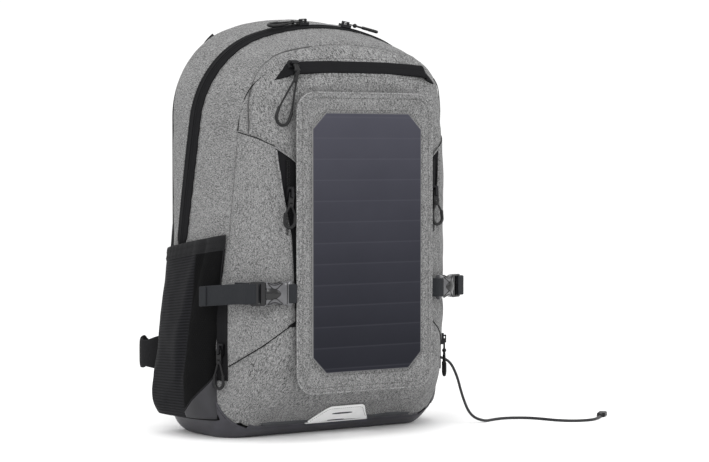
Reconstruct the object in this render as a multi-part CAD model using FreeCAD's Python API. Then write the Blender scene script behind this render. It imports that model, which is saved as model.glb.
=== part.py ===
import FreeCAD, Part
import math
import os
from FreeCAD import Vector as V

os.makedirs("parts", exist_ok=True)

# Solar backpack, millimetres. Front (solar module) faces -Y, the wearer's back is at +Y, +Z up.
# Driving dimensions
BODY_W = 301.0          # widest part of the bag
BODY_FRONT_Y = -90.0    # front face
BODY_BACK_Y = 90.0      # back panel face
WALL = 4.0              # padded fabric wall
PART_Y, PART_Z, PART_SLOPE = 25.0, 300.0, 0.22   # plane of the main zip: y = PART_Y - PART_SLOPE*(z - PART_Z)
ZIP_END_Z = 207.0       # where the main zip stops on each side
ZIP_HALF = 10.5         # half width of the visible zip tape
MODULE_W, MODULE_H, MODULE_T, MODULE_Z = 181.0, 327.0, 5.0, 216.0
LAM_W, LAM_H, LAM_CHAMFER = 145.4, 283.0, 17.5
CELL_ROWS = 12
WEB = 22.0              # compression webbing width
CORD_D = 3.2            # charging cable
BACK_Y_SHIFT, X_SHIFT = -12.7, 0.0   # puts the origin under the middle of the object's box

# y, half width, bottom, bottom corner radius, top, shoulder radius, shoulder angle
SECTIONS = [
    (-90.0, 95.0, 74.0, 30.0, 391.0, 34.0, 80.0),
    (-87.0, 104.0, 62.0, 32.0, 402.0, 38.0, 80.0),
    (-80.0, 115.0, 51.0, 34.0, 413.0, 42.0, 80.0),
    (-68.0, 126.0, 39.0, 36.0, 429.0, 54.0, 78.0),
    (-50.0, 137.0, 24.0, 38.0, 443.0, 82.0, 74.0),
    (-33.0, 143.5, 8.5, 38.0, 449.5, 91.0, 72.0),
    (-15.0, 148.5, -0.5, 36.0, 455.5, 97.0, 71.0),
    (10.0, 150.4, -3.0, 34.0, 461.5, 101.0, 70.0),
    (45.0, 150.2, -3.0, 33.0, 467.0, 105.0, 70.0),
    (70.0, 145.5, -2.0, 31.0, 468.0, 105.0, 70.0),
    (82.0, 138.5, -1.0, 29.0, 464.0, 103.0, 70.0),
    (90.0, 129.0, 4.0, 25.0, 455.0, 98.0, 70.0),
]
# the same form, one wall further in
INNER_SECTIONS = [
    (-86.0, 94.0, 76.0, 29.0, 389.0, 33.0, 80.0),
    (-83.0, 101.5, 65.5, 31.0, 399.0, 37.0, 80.0),
    (-76.5, 112.0, 55.0, 33.0, 409.5, 41.0, 80.0),
    (-65.0, 122.5, 43.0, 35.0, 425.0, 52.0, 78.0),
    (-48.0, 133.0, 28.5, 36.0, 438.5, 78.0, 74.0),
    (-32.0, 139.5, 13.5, 36.0, 445.5, 87.0, 72.0),
    (-15.0, 144.5, 5.0, 33.0, 451.5, 93.0, 71.0),
    (10.0, 146.4, 4.0, 30.0, 457.5, 97.0, 70.0),
    (45.0, 146.2, 4.0, 29.0, 463.0, 101.0, 70.0),
    (70.0, 141.0, 4.5, 28.0, 464.0, 101.0, 70.0),
    (82.0, 133.5, 7.0, 27.0, 459.0, 98.0, 70.0),
]

nodes = {}


def put(name, shape):
    nodes[name] = shape


def arch(y, a, zb, rb, top, rc, th):
    """Closed arch outline in a plane of constant y: flat bottom, straight sides, three-centred top."""
    th = math.radians(th)
    c, s, t = math.cos(th), math.sin(th), math.tan(th)
    zs = top - rc - (a - rc) * (1 / c - t)
    p = lambda x, z: V(x, y, z)
    def arc(cx, cz, r, a0, a1):
        am = (a0 + a1) / 2
        return Part.Arc(*[p(cx + r * math.cos(q), cz + r * math.sin(q)) for q in (a0, am, a1)]).toShape()
    line = lambda q, w: Part.LineSegment(q, w).toShape()
    h = math.pi / 2
    r2 = rc + (a - rc) / c
    cz2 = zs - (a - rc) * t
    e = [
        line(p(-(a - rb), zb), p(a - rb, zb)),
        arc(a - rb, zb + rb, rb, -h, 0),
        line(p(a, zb + rb), p(a, zs)),
        arc(a - rc, zs, rc, 0, th),
        arc(0, cz2, r2, th, math.pi - th),
        arc(-(a - rc), zs, rc, math.pi - th, math.pi),
        line(p(-a, zs), p(-a, zb + rb)),
        arc(-(a - rb), zb + rb, rb, math.pi, math.pi + h),
    ]
    return Part.Wire(e)


def grown(t):
    """The bag's outer form moved outwards by t (inwards when negative), as a solid."""
    n = len(SECTIONS)
    out = []
    for i, (y, a, zb, rb, top, rc, th) in enumerate(SECTIONS):
        if i == 0:
            nx, ny = 0.6, -1.0
        elif i == n - 1:
            nx, ny = 0.6, 1.0
        else:
            dy = SECTIONS[i + 1][0] - SECTIONS[i - 1][0]
            da = SECTIONS[i + 1][1] - SECTIONS[i - 1][1]
            k = math.hypot(dy, da)
            nx, ny = dy / k, -da / k
        out.append(arch(y + t * ny, a + t * nx, zb - t * nx, rb + t * nx, top + t * nx, rc + t * nx, th))
    return Part.makeLoft(out, True, False, False, 3)


def prism_yz(points, x0, x1):
    w = Part.makePolygon([V(x0, y, z) for y, z in points] + [V(x0, *points[0])])
    return Part.Face(w).extrude(V(x1 - x0, 0, 0))


def prism_xz(points, y0, y1):
    pts = [V(x, y0, z) for x, z in points]
    return Part.Face(Part.makePolygon(pts + [pts[0]])).extrude(V(0, y1 - y0, 0))


def prism_xy(points, z0, z1):
    pts = [V(x, y, z0) for x, y in points]
    return Part.Face(Part.makePolygon(pts + [pts[0]])).extrude(V(0, 0, z1 - z0))


def box(x0, x1, y0, y1, z0, z1):
    return Part.makeBox(x1 - x0, y1 - y0, z1 - z0, V(x0, y0, z0))


def cyl(p, d, r, h):
    return Part.makeCylinder(r, h, V(*p), V(*d))


def mirrored(s):
    return s.mirror(V(0, 0, 0), V(1, 0, 0))


def both(s):
    return Part.makeCompound([s, mirrored(s)])


def biggest(s, keep=1):
    sol = sorted(s.Solids, key=lambda q: -q.Volume)
    return sol[0] if keep == 1 else Part.makeCompound(sol[:keep])


def plane_y(z):
    return PART_Y - PART_SLOPE * (z - PART_Z)


def slab_side(front, gap):
    """Half space in front of (or behind) the main zip's plane, gap away from it."""
    k = math.sqrt(1 + PART_SLOPE ** 2)
    g = gap * k
    if front:
        pts = [(-300, -60), (plane_y(-60) - g, -60), (plane_y(560) - g, 560), (-300, 560)]
    else:
        pts = [(400, -60), (plane_y(-60) + g, -60), (plane_y(560) + g, 560), (400, 560)]
    return prism_yz(pts, -260, 260)


ABOVE_FLOOR = box(-260, 260, -300, 300, 0, 700)
OUTER = grown(0).common(ABOVE_FLOOR)
INNER = Part.makeLoft([arch(*q) for q in INNER_SECTIONS], True, False, False, 3)
SHELL = OUTER.cut(INNER)

# ---- main shell pieces
front_half = SHELL.common(slab_side(True, 0.25))
boot_zone = prism_yz([(-300, -5), (-300, 13), (-36, 13), (-26, 38), (-10, 56), (300, 56), (300, -5)], -260, 260)
upper = front_half.cut(boot_zone)
SEAM_Y = -62.0
base_boot = biggest(front_half.common(boot_zone))
front_gusset = biggest(upper.common(box(-260, 260, SEAM_Y, 300, -5, 700)))
front_panel = biggest(upper.common(box(-260, 260, -300, SEAM_Y, -5, 700)))

# window behind the solar module for its junction box
WIN = (-32.0, 32.0, 296.0, 340.0)
front_panel = front_panel.cut(box(WIN[0], WIN[1], -120, -70, WIN[2], WIN[3]))

rear_zone = slab_side(False, 0.25).common(box(-260, 260, -300, 300, 14, 700))
rear_half = SHELL.common(rear_zone)
rear_gusset = biggest(rear_half.common(box(-260, 260, -300, 81.9, -5, 700)))
back_panel = biggest(OUTER.common(rear_zone).common(box(-260, 260, 82.0, 300, -5, 700)))

# cable exit at the foot of the right side zip
EXIT_Y, EXIT_Z = -43.5, 78.0
exit_hole = cyl((100, EXIT_Y, EXIT_Z), (1, 0, 0), CORD_D / 2 + 0.9, 90)
front_gusset = front_gusset.cut(exit_hole)

put("base_boot", base_boot)
put("rear_gusset", rear_gusset)
put("back_panel", back_panel)

# inner pieces
put("base_board", box(-112, 112, -8, 56, 5.8, 8.0))
lining_zone = INNER.common(box(-260, 260, -44, -42, 12, 425))
put("front_lining", biggest(lining_zone.cut(box(104, 200, -50, -30, 64, 98))))
sheet = arch(80.2, 120.0, 40.0, 18.0, 440.0, 90.0, 70.0)
put("frame_sheet", Part.Face(sheet).extrude(V(0, 1.5, 0)))
sleeve = box(-118, 118, 58, 62, 44, 300)
sleeve = sleeve.fuse([box(-122, -118, 58, 79.9, 44, 300), box(118, 122, 58, 79.9, 44, 300)])
put("laptop_sleeve", sleeve.removeSplitter())

# ---- main zip: a tape each side of the parting plane, sitting on the shell
L14 = grown(1.4)
ring = L14.cut(OUTER).common(box(-260, 260, -300, 79, ZIP_END_Z, 700))
tape_front = ring.common(slab_side(True, 0.25)).cut(slab_side(True, ZIP_HALF))
tape_rear = ring.common(slab_side(False, 0.25)).cut(slab_side(False, ZIP_HALF))
put("main_zip_tape_front", biggest(tape_front))
put("main_zip_tape_rear", biggest(tape_rear))

# ---- front pocket zip band: a straight, flat-faced strip across the sloping top of the front
L10 = grown(1.0)
BAND_N = V(0, -0.85, 0.5268)
BAND_Q = V(0, -83.9, 408.6)
BAND_D = V(0, 0.5268, 0.85)
def band_prism(x0, x1, d0, d1, n0, n1):
    """Straight strip on the band's plane: d up the slope, n outwards."""
    q = [BAND_Q + BAND_D * d + BAND_N * n for d, n in ((d0, n0), (d1, n0), (d1, n1), (d0, n1))]
    w = Part.makePolygon([V(x0, p.y, p.z) for p in q] + [V(x0, q[0].y, q[0].z)])
    return Part.Face(w).extrude(V(x1 - x0, 0, 0))
garage = band_prism(-93, 93, -7.6, 7.6, -14, 0).cut(OUTER)
ends = L10.cut(OUTER).common(prism_xz([(-112, 400), (-98, 415.5), (98, 415.5), (112, 400)], -120, -50))
put("front_zip_tape", biggest(ends.cut(band_prism(-93, 93, -40, 40, -40, 40)).fuse(garage)))

# ---- side wings that carry the compression straps (left one drawn, right one mirrored)
VIEW = math.radians(34.0)
def wing_poly(points, depth0=0.0, depth1=260.0):
    """Prism along the diagonal that looks at the front left corner; points are (across, up)."""
    r = V(math.cos(VIEW), -math.sin(VIEW), 0)
    c = V(-math.sin(VIEW), -math.cos(VIEW), 0)
    pts = [r * u + c * depth1 + V(0, 0, z) for u, z in points]
    return Part.Face(Part.makePolygon(pts + [pts[0]])).extrude(c * (depth0 - depth1))
L22 = grown(2.2)
wing_pts = [(-84, 336), (-62, 329), (-44, 320.5), (-42.8, 317), (-38, 280), (-35, 262), (-30, 240), (-27.3, 222), (-26, 200), (-23, 131), (-58, 105.5), (-95.5, 81.8), (-96, 110), (-95.5, 160), (-93.5, 227), (-88, 290)]
wing_zone = wing_poly(wing_pts)
wing = biggest(L22.cut(OUTER).common(wing_zone))
wing_r = biggest(mirrored(wing).cut(box(100, 200, -62, -44, 60, 136)))
put("wings", Part.makeCompound([wing, wing_r]))

# ---- vertical pocket zips beside the module, half hidden by the wings' free edges, and the short cable zips
L24 = grown(2.4)
stash_zone = prism_xz([(-108, 128), (-108, 318), (-88, 318), (-88, 128)], -120, -70)
stash = biggest(L10.cut(OUTER).common(stash_zone).cut(wing_zone))
coil = biggest(L24.cut(L10).common(box(-99.5, -94.5, -120, -70, 226, 314)).cut(wing_zone))
cable_l = biggest(L10.cut(OUTER).common(box(-200, -100, -38.5, -24.0, 66, 150)).cut(wing_zone))
cable_r = biggest(L10.cut(OUTER).common(box(100, 200, -60.0, -47.0, 66, 134)).cut(exit_hole))
put("pocket_zip_tapes", Part.makeCompound([stash, mirrored(stash), coil, mirrored(coil), cable_l, cable_r]))

# ---- reflective patch low on the front
patch_zone = prism_xz([(-43, 13.4), (43, 13.4), (25, 32), (22, 33.5), (-22, 33.5), (-25, 32)], -120, -30)
put("reflective_patch", biggest(grown(0.8).cut(OUTER).common(patch_zone)))

# ---- mesh side pockets
def pocket_ring(z, front, bulge, rear, w, x_in):
    """Plan outline of a side pocket; w is how far inside the outer face it runs."""
    p = [(-x_in, front + w), (-151.5 - bulge * 0.30 + w, front + w), (-151.5 - bulge * 0.80 + w, front + 14 + w * 0.5), (-151.5 - bulge + w, front + 38),
         (-151.5 - bulge + w, rear - 32), (-151.5 - bulge * 0.85 + w, rear - 12), (-151.5 - bulge * 0.35 + w, rear - w), (-x_in, rear + 1 - w)]
    pts = [V(x, y, z) for x, y in p]
    return Part.makePolygon(pts + [pts[0]])
POCKET = [(22, -22, 17, 86), (70, -22, 21, 86), (130, -23, 17, 82), (180, -31, 11, 76), (240, -43, 4, 70)]
pocket_solid = Part.makeLoft([pocket_ring(z, f, b, r, 0, 120) for z, f, b, r in POCKET], True, True)
core = Part.makeLoft([pocket_ring(z + (2.2 if z == 22 else 0), f, b, r, 1.8, 110) for z, f, b, r in POCKET], True, True)
pocket_shell = pocket_solid.cut(core).cut(OUTER).cut(box(-151.0, 0, 0, 120, 0, 300)).cut(wing)
pocket_shell = pocket_shell.cut(grown(1.05).common(box(-200, -100, -60, -20, 60, 156)))
top_cut = prism_yz([(-80, 231.6), (120, 199.9), (120, 300), (-80, 300)], -260, 0)
hem_cut = prism_yz([(-80, 217.6), (120, 185.9), (120, 300), (-80, 300)], -260, 0)
pocket_shell = pocket_shell.cut(top_cut)
hem = biggest(pocket_shell.common(hem_cut))
pocket = biggest(pocket_shell.cut(hem_cut))
put("side_pocket_left", pocket)
put("side_pocket_right", mirrored(pocket))
put("pocket_hems", both(hem))

# ---- side-release buckles: a local frame s (towards the module), n (outwards), z
B0 = V(-137.0, -73.0, 163.0)
BT = V(42.0, -17.5, 0).normalize()
BN = V(BT.y, -BT.x, 0)
def place(shape):
    m = FreeCAD.Matrix(BT.x, -BN.x, 0, B0.x, BT.y, -BN.y, 0, B0.y, 0, 0, 1, B0.z, 0, 0, 0, 1)
    return _rigid(shape.mirror(V(0, 0, 0), V(0, 1, 0)), m)
def _rigid(shape, m):
    s = shape.copy()
    s.Placement = FreeCAD.Placement(m).multiply(s.Placement)
    return s
def lb(s0, s1, n0, n1, z0, z1):
    return Part.makeBox(s1 - s0, n1 - n0, z1 - z0, V(s0, n0, z0))
# female half
f = lb(17, 46, 5.5, 14.0, -13, 13)
f = f.makeFillet(2.6, [e for e in f.Edges if abs(e.Vertexes[0].X - e.Vertexes[1].X) > 10])
f = f.cut(lb(16, 38.5, 7.3, 12.2, -10.4, 10.4))
f = f.cut(lb(22, 33, 7.3, 12.2, -14, 14))
f = f.cut(lb(41.0, 43.6, 4, 16, -11.2, 11.2))
female = place(f)
# male half: adjuster frame, centre tongue and two spring arms
m = lb(0, 16.5, 6.6, 12.0, -13, 13)
m = m.makeFillet(2.0, [e for e in m.Edges if abs(e.Vertexes[0].Y - e.Vertexes[1].Y) > 3])
m = m.cut(lb(2.6, 5.4, 4, 16, -11.2, 11.2)).cut(lb(8.8, 11.8, 4, 16, -11.2, 11.2))
m = m.fuse([lb(16, 35, 7.9, 11.6, -3.6, 3.6), lb(16, 33, 7.9, 11.6, 6.2, 8.6), lb(16, 33, 7.9, 11.6, -8.6, -6.2),
            lb(26, 33, 7.9, 11.6, 8.0, 9.9), lb(26, 33, 7.9, 11.6, -9.9, -8.0)]).removeSplitter()
male = place(m)
put("buckle_females", both(female))
put("buckle_male_left", male)
put("buckle_male_right", mirrored(male))

def web_path(points, thick, z0, z1):
    """A webbing lying along a plan polyline, thick outwards to its left-hand side."""
    n = len(points)
    off = []
    for i in range(n):
        a = V(*points[max(i - 1, 0)], 0)
        b = V(*points[min(i + 1, n - 1)], 0)
        t = (b - a).normalize()
        off.append((points[i][0] + t.y * thick, points[i][1] - t.x * thick))
    return prism_xy(points + off[::-1], z0, z1)
def at(s, n):
    q = B0 + BT * s + BN * n
    return (q.x, q.y)
tail = web_path([(-168.5, -26), (-163.5, -42), (-156.5, -57), (-149.5, -69.5), at(-6, 11.6), at(-1.0, 12.4), at(6.2, 12.4)], 1.5, B0.z - WEB / 2, B0.z + WEB / 2)
put("compression_strap_left", biggest(tail))
put("compression_strap_right", mirrored(biggest(tail)))
# sewn leg of the same strap under the male half, and the short loop that ties the female half in under the module's edge
anchor = biggest(grown(4.0).cut(grown(2.5)).common(box(-200, -60, -78, -49.5, B0.z - WEB / 2, B0.z + WEB / 2)))
loop = box(-97.2, -86.0, -94.2, -92.6, B0.z - WEB / 2 + 0.6, B0.z + WEB / 2 - 0.6)
put("strap_anchors", Part.makeCompound([anchor, mirrored(anchor), loop, mirrored(loop)]))

# ---- solar module
MY = -95.2
def rrect(w, h, r, y, zc):
    x, z = w / 2, h / 2
    pts = []
    es = []
    q = lambda u, v: V(u, y, zc + v)
    es += [Part.LineSegment(q(-x + r, -z), q(x - r, -z)).toShape(), Part.Arc(q(x - r, -z), q(x - r + r * 0.70711, -z + r - r * 0.70711), q(x, -z + r)).toShape(),
           Part.LineSegment(q(x, -z + r), q(x, z - r)).toShape(), Part.Arc(q(x, z - r), q(x - r + r * 0.70711, z - r + r * 0.70711), q(x - r, z)).toShape(),
           Part.LineSegment(q(x - r, z), q(-x + r, z)).toShape(), Part.Arc(q(-x + r, z), q(-x + r - r * 0.70711, z - r + r * 0.70711), q(-x, z - r)).toShape(),
           Part.LineSegment(q(-x, z - r), q(-x, -z + r)).toShape(), Part.Arc(q(-x, -z + r), q(-x + r - r * 0.70711, -z + r - r * 0.70711), q(-x + r, -z)).toShape()]
    return Part.Face(Part.Wire(es))
def octagon(w, h, c, y0, y1):
    x, z = w / 2, h / 2
    return prism_xz([(-x, MODULE_Z - z + c), (-x + c, MODULE_Z - z), (x - c, MODULE_Z - z), (x, MODULE_Z - z + c),
                     (x, MODULE_Z + z - c), (x - c, MODULE_Z + z), (-x + c, MODULE_Z + z), (-x, MODULE_Z + z - c)], y0, y1)
carrier = rrect(MODULE_W, MODULE_H, 22.0, MY, MODULE_Z).extrude(V(0, -MODULE_T, 0))
carrier = carrier.makeFillet(1.8, [e for e in carrier.Edges if all(abs(v.Y - (MY - MODULE_T)) < 0.01 for v in e.Vertexes)])
put("module_carrier", carrier)
y1 = MY - MODULE_T - 0.02
put("laminate_backsheet", octagon(LAM_W, LAM_H, LAM_CHAMFER, y1, y1 - 0.9))
cell_zone = octagon(LAM_W - 9, LAM_H - 9, LAM_CHAMFER - 1.5, y1 - 0.92, y1 - 1.27)
pitch = (LAM_H - 9) / CELL_ROWS
cells = []
for i in range(CELL_ROWS):
    z0 = MODULE_Z - (LAM_H - 9) / 2 + i * pitch
    cells.append(cell_zone.common(box(-100, 100, -120, -80, z0 + 0.35, z0 + pitch - 0.35)))
put("solar_cells", Part.makeCompound([s for c in cells for s in c.Solids]))
put("front_film", octagon(LAM_W, LAM_H, LAM_CHAMFER, y1 - 1.29, y1 - 1.79))
JZ = (WIN[2] + WIN[3]) / 2
jb = box(-28, 28, MY + 0.05, -78, JZ - 18, JZ + 18)
jb = jb.makeFillet(2.5, [e for e in jb.Edges if abs(e.Vertexes[0].Y - e.Vertexes[1].Y) > 3])
PIN_R, SOCK_R = 2.6, 2.68
pin = cyl((0, -78.5, JZ), (0, 1, 0), PIN_R, 9.5)
put("junction_box", jb.fuse([pin, cyl((0, -78.5, JZ), (0, 1, 0), 4.6, 2.0)]).removeSplitter())
STUDS = [(-74, 104), (74, 104), (-74, 328), (74, 328)]
studs, socks = [], []
for x, z in STUDS:
    studs.append(cyl((x, MY + 0.05, z), (0, 1, 0), 6.0, 0.8).fuse(cyl((x, MY + 0.8, z), (0, 1, 0), 2.2, 2.6)).removeSplitter())
    socks.append(cyl((x, -94.1, z), (0, 1, 0), 6.0, 4.05).cut(cyl((x, -95, z), (0, 1, 0), 2.25, 3.6)))
put("module_studs", Part.makeCompound(studs))
put("stud_sockets", Part.makeCompound(socks))

# ---- wiring inside the front compartment
sock = cyl((0, -76.2, JZ), (0, 1, 0), 6.5, 16.0).cut(cyl((0, -77, JZ), (0, 1, 0), SOCK_R, 12.0))
put("panel_socket", sock)
REG = (26.0, 64.0, 214.0, 274.0)
reg = box(REG[0], REG[1], -62.0, -47.0, REG[2], REG[3])
reg = reg.makeFillet(3.0, [e for e in reg.Edges if abs(e.Vertexes[0].Y - e.Vertexes[1].Y) > 3])
reg = reg.cut(box(38.6, 51.4, -58.0, -51.6, 200, 229.0))
put("charge_regulator", reg)
def tube_route(points, d):
    """Straight runs joined by tangent arcs, each as large as its two runs allow."""
    p = [V(*q) for q in points]
    edges, cur, radii, length = [], p[0], [], 0.0
    for i in range(1, len(p) - 1):
        a, b = p[i - 1] - p[i], p[i + 1] - p[i]
        turn = math.pi - a.getAngle(b)
        run = min(a.Length, b.Length)
        r = 0.45 * run / math.tan(turn / 2)
        cut = 0.45 * run
        s, e = p[i] + a.normalize() * cut, p[i] + b.normalize() * cut
        bis = (a + b).normalize()
        mid = p[i] + bis * (r / math.cos(turn / 2) - r)
        edges.append(Part.LineSegment(cur, s).toShape())
        edges.append(Part.Arc(s, mid, e).toShape())
        length += (s - cur).Length + r * turn
        radii.append(round(r, 1))
        cur = e
    edges.append(Part.LineSegment(cur, p[-1]).toShape())
    length += (p[-1] - cur).Length
    wire = Part.Wire(edges)
    t = (p[1] - p[0]).normalize()
    prof = Part.Wire(Part.makeCircle(d / 2, p[0], t))
    solid = wire.makePipeShell([prof], True, False)
    area = math.pi * d * d / 4
    print("tube radii", radii, "length %.1f" % length, "volume/section*length %.4f" % (solid.Volume / (area * length)), solid.isValid())
    return solid
lead = tube_route([(0, -59.0, JZ), (4, -54, JZ - 5), (16, -52, JZ - 12), (34, -54, JZ - 22), (45, -55, JZ - 34), (45, -55, REG[3] + 0.05)], 3.0)
put("panel_lead", lead)
plug = box(40.6, 49.4, -57.2, -52.4, 199.0, 228.5)
plug = plug.fuse(box(38.4, 51.6, -59.0, -50.6, 196.0, 213.0)).fuse(cyl((45, -54.8, 188.0), (0, 0, 1), 2.8, 9.0)).removeSplitter()
put("usb_a_plug", plug)
inner_pts = [(45, -54.8, 187.95), (46, -55, 168), (51, -55.5, 146), (63, -55.5, 124), (80, -55, 105), (98, -54, 89), (112, -50, 81), (126, EXIT_Y, EXIT_Z + 0.5), (141.2, EXIT_Y, EXIT_Z)]
put("charging_cable_inner", tube_route(inner_pts, CORD_D))

# ---- free run of the charging cable, out of the right side zip and along the floor
F = CORD_D / 2 + 0.05
CORD_ROUTE = [(141.3, EXIT_Y, EXIT_Z), (156, EXIT_Y - 0.5, EXIT_Z - 3), (165, EXIT_Y - 5, EXIT_Z - 22), (168, EXIT_Y - 11, EXIT_Z - 46), (175, EXIT_Y - 17, 9.0),
              (190, -67, F), (213, -58, F), (234, -56, F), (253, -67, F), (262, -86, F), (266, -107, F), (279, -124, F), (299, -129, F), (318, -122, F), (334, -108, F)]
put("charging_cord", tube_route(CORD_ROUTE, CORD_D))
cd = (V(*CORD_ROUTE[-1]) - V(*CORD_ROUTE[-2])).normalize()
cn = V(-cd.y, cd.x, 0)
def plug_place(shape):
    m = FreeCAD.Matrix(cd.x, cn.x, 0, CORD_ROUTE[-1][0], cd.y, cn.y, 0, CORD_ROUTE[-1][1], 0, 0, 1, 0, 0, 0, 0, 1)
    return _rigid(shape, m)
over = Part.makeBox(18, 10, 5.2, V(6.05, -5, 0))
over = over.makeFillet(1.6, [e for e in over.Edges if abs(e.Vertexes[0].X - e.Vertexes[1].X) > 10])
neck = Part.makeCone(2.0, 2.5, 6.1, V(0.02, 0, 2.6), V(1, 0, 0))
put("usb_plug_overmold", plug_place(over.fuse(neck).removeSplitter()))
tip = Part.makeBox(6.6, 8.3, 2.5, V(24.1, -4.15, 1.35))
tip = tip.makeFillet(1.1, [e for e in tip.Edges if abs(e.Vertexes[0].X - e.Vertexes[1].X) > 5]).cut(Part.makeBox(5.0, 6.4, 1.3, V(26.5, -3.2, 1.95)))
put("usb_plug_tip", plug_place(tip))

# ---- back panel furniture
def pad(x0, x1, z0, z1, y0, y1, r):
    b = box(x0, x1, y0, y1, z0, z1)
    b = b.makeFillet(r, [e for e in b.Edges if abs(e.Vertexes[0].Y - e.Vertexes[1].Y) > 3])
    return b.makeFillet(3.0, [e for e in b.Edges if all(abs(v.Y - y1) < 0.01 for v in e.Vertexes)])
put("back_pads", both(pad(-116, -14, 70, 384, 90.3, 100.5, 22)))

def rect_section(c, t, w, h):
    """A strap section: w across, h thick, at right angles to t."""
    across = V(0, 1, 0).cross(t).normalize()
    out = t.cross(across).normalize()
    q = [c + across * (sx * w / 2) + out * (sy * h / 2) for sx, sy in ((-1, -1), (1, -1), (1, 1), (-1, 1))]
    return Part.makePolygon(q + [q[0]])
STRAP = [(-71, 95.2, 446, 43, 6), (-76, 101, 430, 53, 9), (-77, 106.5, 405, 57, 12), (-77, 109.5, 380, 60, 13), (-79, 112, 350, 62, 13), (-83, 113.5, 308, 60, 13),
         (-87, 115.5, 262, 59, 13), (-93, 117.5, 208, 55, 12.5), (-101, 119.5, 152, 48, 12), (-106, 120.5, 124, 42, 9)]
secs = []
for i, (x, y, z, w, h) in enumerate(STRAP):
    a, b = STRAP[max(i - 1, 0)], STRAP[min(i + 1, len(STRAP) - 1)]
    t = (V(*b[:3]) - V(*a[:3])).normalize()
    secs.append(rect_section(V(x, y, z), t, w, h))
strap = Part.makeLoft(secs, True, False, False, 3)
put("shoulder_straps", both(strap))
def bar(a, b, w, h):
    a, b = V(*a), V(*b)
    t = (b - a).normalize()
    return Part.makeLoft([rect_section(a, t, w, h), rect_section(b, t, w, h)], True, True)
lock = bar((-106.9, 120.8, 118.6), (-109.6, 121.9, 99), 34, 5)
put("ladder_locks", both(lock))
web = bar((-109.8, 121.4, 98.4), (-119.0, 93.5, 34), 25, 1.8)
put("strap_webbings", both(web))
belt = web_path([(-138, 94.6), (-150, 98.0), (-160, 105.5), (-163.5, 115), (-158, 125.5), (-147, 129)], 4.2, 74, 112)
belt = belt.fuse(web_path([(-117.5, 90.4), (-128, 90.8), (-139, 94.8)], 3.0, 74, 112))
belt = belt.common(box(-200, 0, 90.4, 200, 0, 200))
put("hip_belt_tabs", both(biggest(belt)))
hp = [(-44, 96.6, 440), (-40, 98.0, 454), (-24, 99.5, 466), (0, 100, 470), (24, 99.5, 466), (40, 98, 454), (44, 96.6, 440)]
hs = []
for i, q in enumerate(hp):
    a, b = V(*hp[max(i - 1, 0)]), V(*hp[min(i + 1, len(hp) - 1)])
    t = (b - a).normalize()
    hs.append((q, t))
hw = []
for q, t in hs:
    out = V(t.z, 0, -t.x)
    if out.z < 0:
        out = out * -1
    ctr = V(*q)
    ax = V(0, 1, 0)
    n2 = t.cross(ax).normalize()
    qq = [ctr + ax * (sx * 6) + n2 * (sy * 2.2) for sx, sy in ((-1, -1), (1, -1), (1, 1), (-1, 1))]
    hw.append(Part.makePolygon(qq + [qq[0]]))
put("grab_handle", Part.makeLoft(hw, True, False, False, 3))

# ---- sliders and their cord pulls: local frame with the tape face at n = 0, travel along t, outwards n
def frame_place(shape, origin, t, n):
    t, n = V(*t).normalize(), V(*n).normalize()
    b = t.cross(n)
    m = FreeCAD.Matrix(b.x, t.x, n.x, origin[0], b.y, t.y, n.y, origin[1], b.z, t.z, n.z, origin[2], 0, 0, 0, 1)
    return _rigid(shape, m)
def slider_shape():
    s = Part.makeBox(9, 13, 3.2, V(-4.5, -6.5, 0))
    s = s.makeFillet(1.4, [e for e in s.Edges if abs(e.Vertexes[0].Z - e.Vertexes[1].Z) > 2])
    bridge = Part.makeBox(3, 9, 3.5, V(-1.5, -4.5, 3.0)).cut(Part.makeBox(4, 5.4, 2.3, V(-2, -2.7, 3.2)))
    return s.fuse(bridge).removeSplitter()
PIVOT_N = 4.35      # height of the pull's bar above the slider's underside
def rod(a, b, r):
    a, b = V(*a), V(*b)
    return Part.makeCylinder(r, (b - a).Length, a, b - a)
def tab_shape(length=14.5):
    """Flat tab that hangs towards -Y from its bar in the slider's bridge; the origin is on the bar."""
    t = Part.makeBox(6.6, length, 1.2, V(-3.3, -length, -0.6))
    t = t.cut(Part.makeBox(3.8, 5.7, 3, V(-1.9, -5.6, -1.5))).cut(Part.makeBox(3.0, 2.6, 3, V(-1.5, -length + 1.4, -1.5)))
    return t.fuse(Part.makeCylinder(0.6, 6.6, V(-3.3, 0, 0), V(1, 0, 0)))
def grip_shape(top, drop, half, r):
    """Cord legs that spread from a knot to a moulded U-shaped grip; top is the knot's place along -Y."""
    cy = -(drop - half - r)
    g = Part.makeTorus(half, r, V(0, 0, 0), V(0, 0, 1), 0, 360, 180)
    g.rotate(V(0, 0, 0), V(0, 0, 1), 180)
    g.translate(V(0, cy, 0))
    legs = [Part.makeSphere(2.5, V(0, -top, 0))]
    for k in (-1, 1):
        up = min(8.0, (-cy - top) * 0.45)
        legs.append(rod((k * half, cy, 0), (k * half, cy + up, 0), r))
        legs.append(rod((k * half, cy + up - 0.8, 0), (k * 1.3, -top, 0), 1.1))
        legs.append(Part.makeSphere(r, V(k * half, cy + up, 0)))
    return g.fuse(legs)
def pull_shape(drop, half=6.4, r=1.8):
    return tab_shape().fuse(grip_shape(13.6, drop, half, r)).removeSplitter()
SL = slider_shape()

def hit(p, d):
    """Distance from p along d to the outer form."""
    line = Part.LineSegment(V(*p), V(*p) + V(*d).normalize() * 600).toShape()
    c = line.common(OUTER)
    v = [q.Point for q in c.Vertexes]
    return min((q - V(*p)).Length for q in v)
def on_slider(o, n):
    return V(*o) + V(*n).normalize() * PIVOT_N
joints = {}

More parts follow.
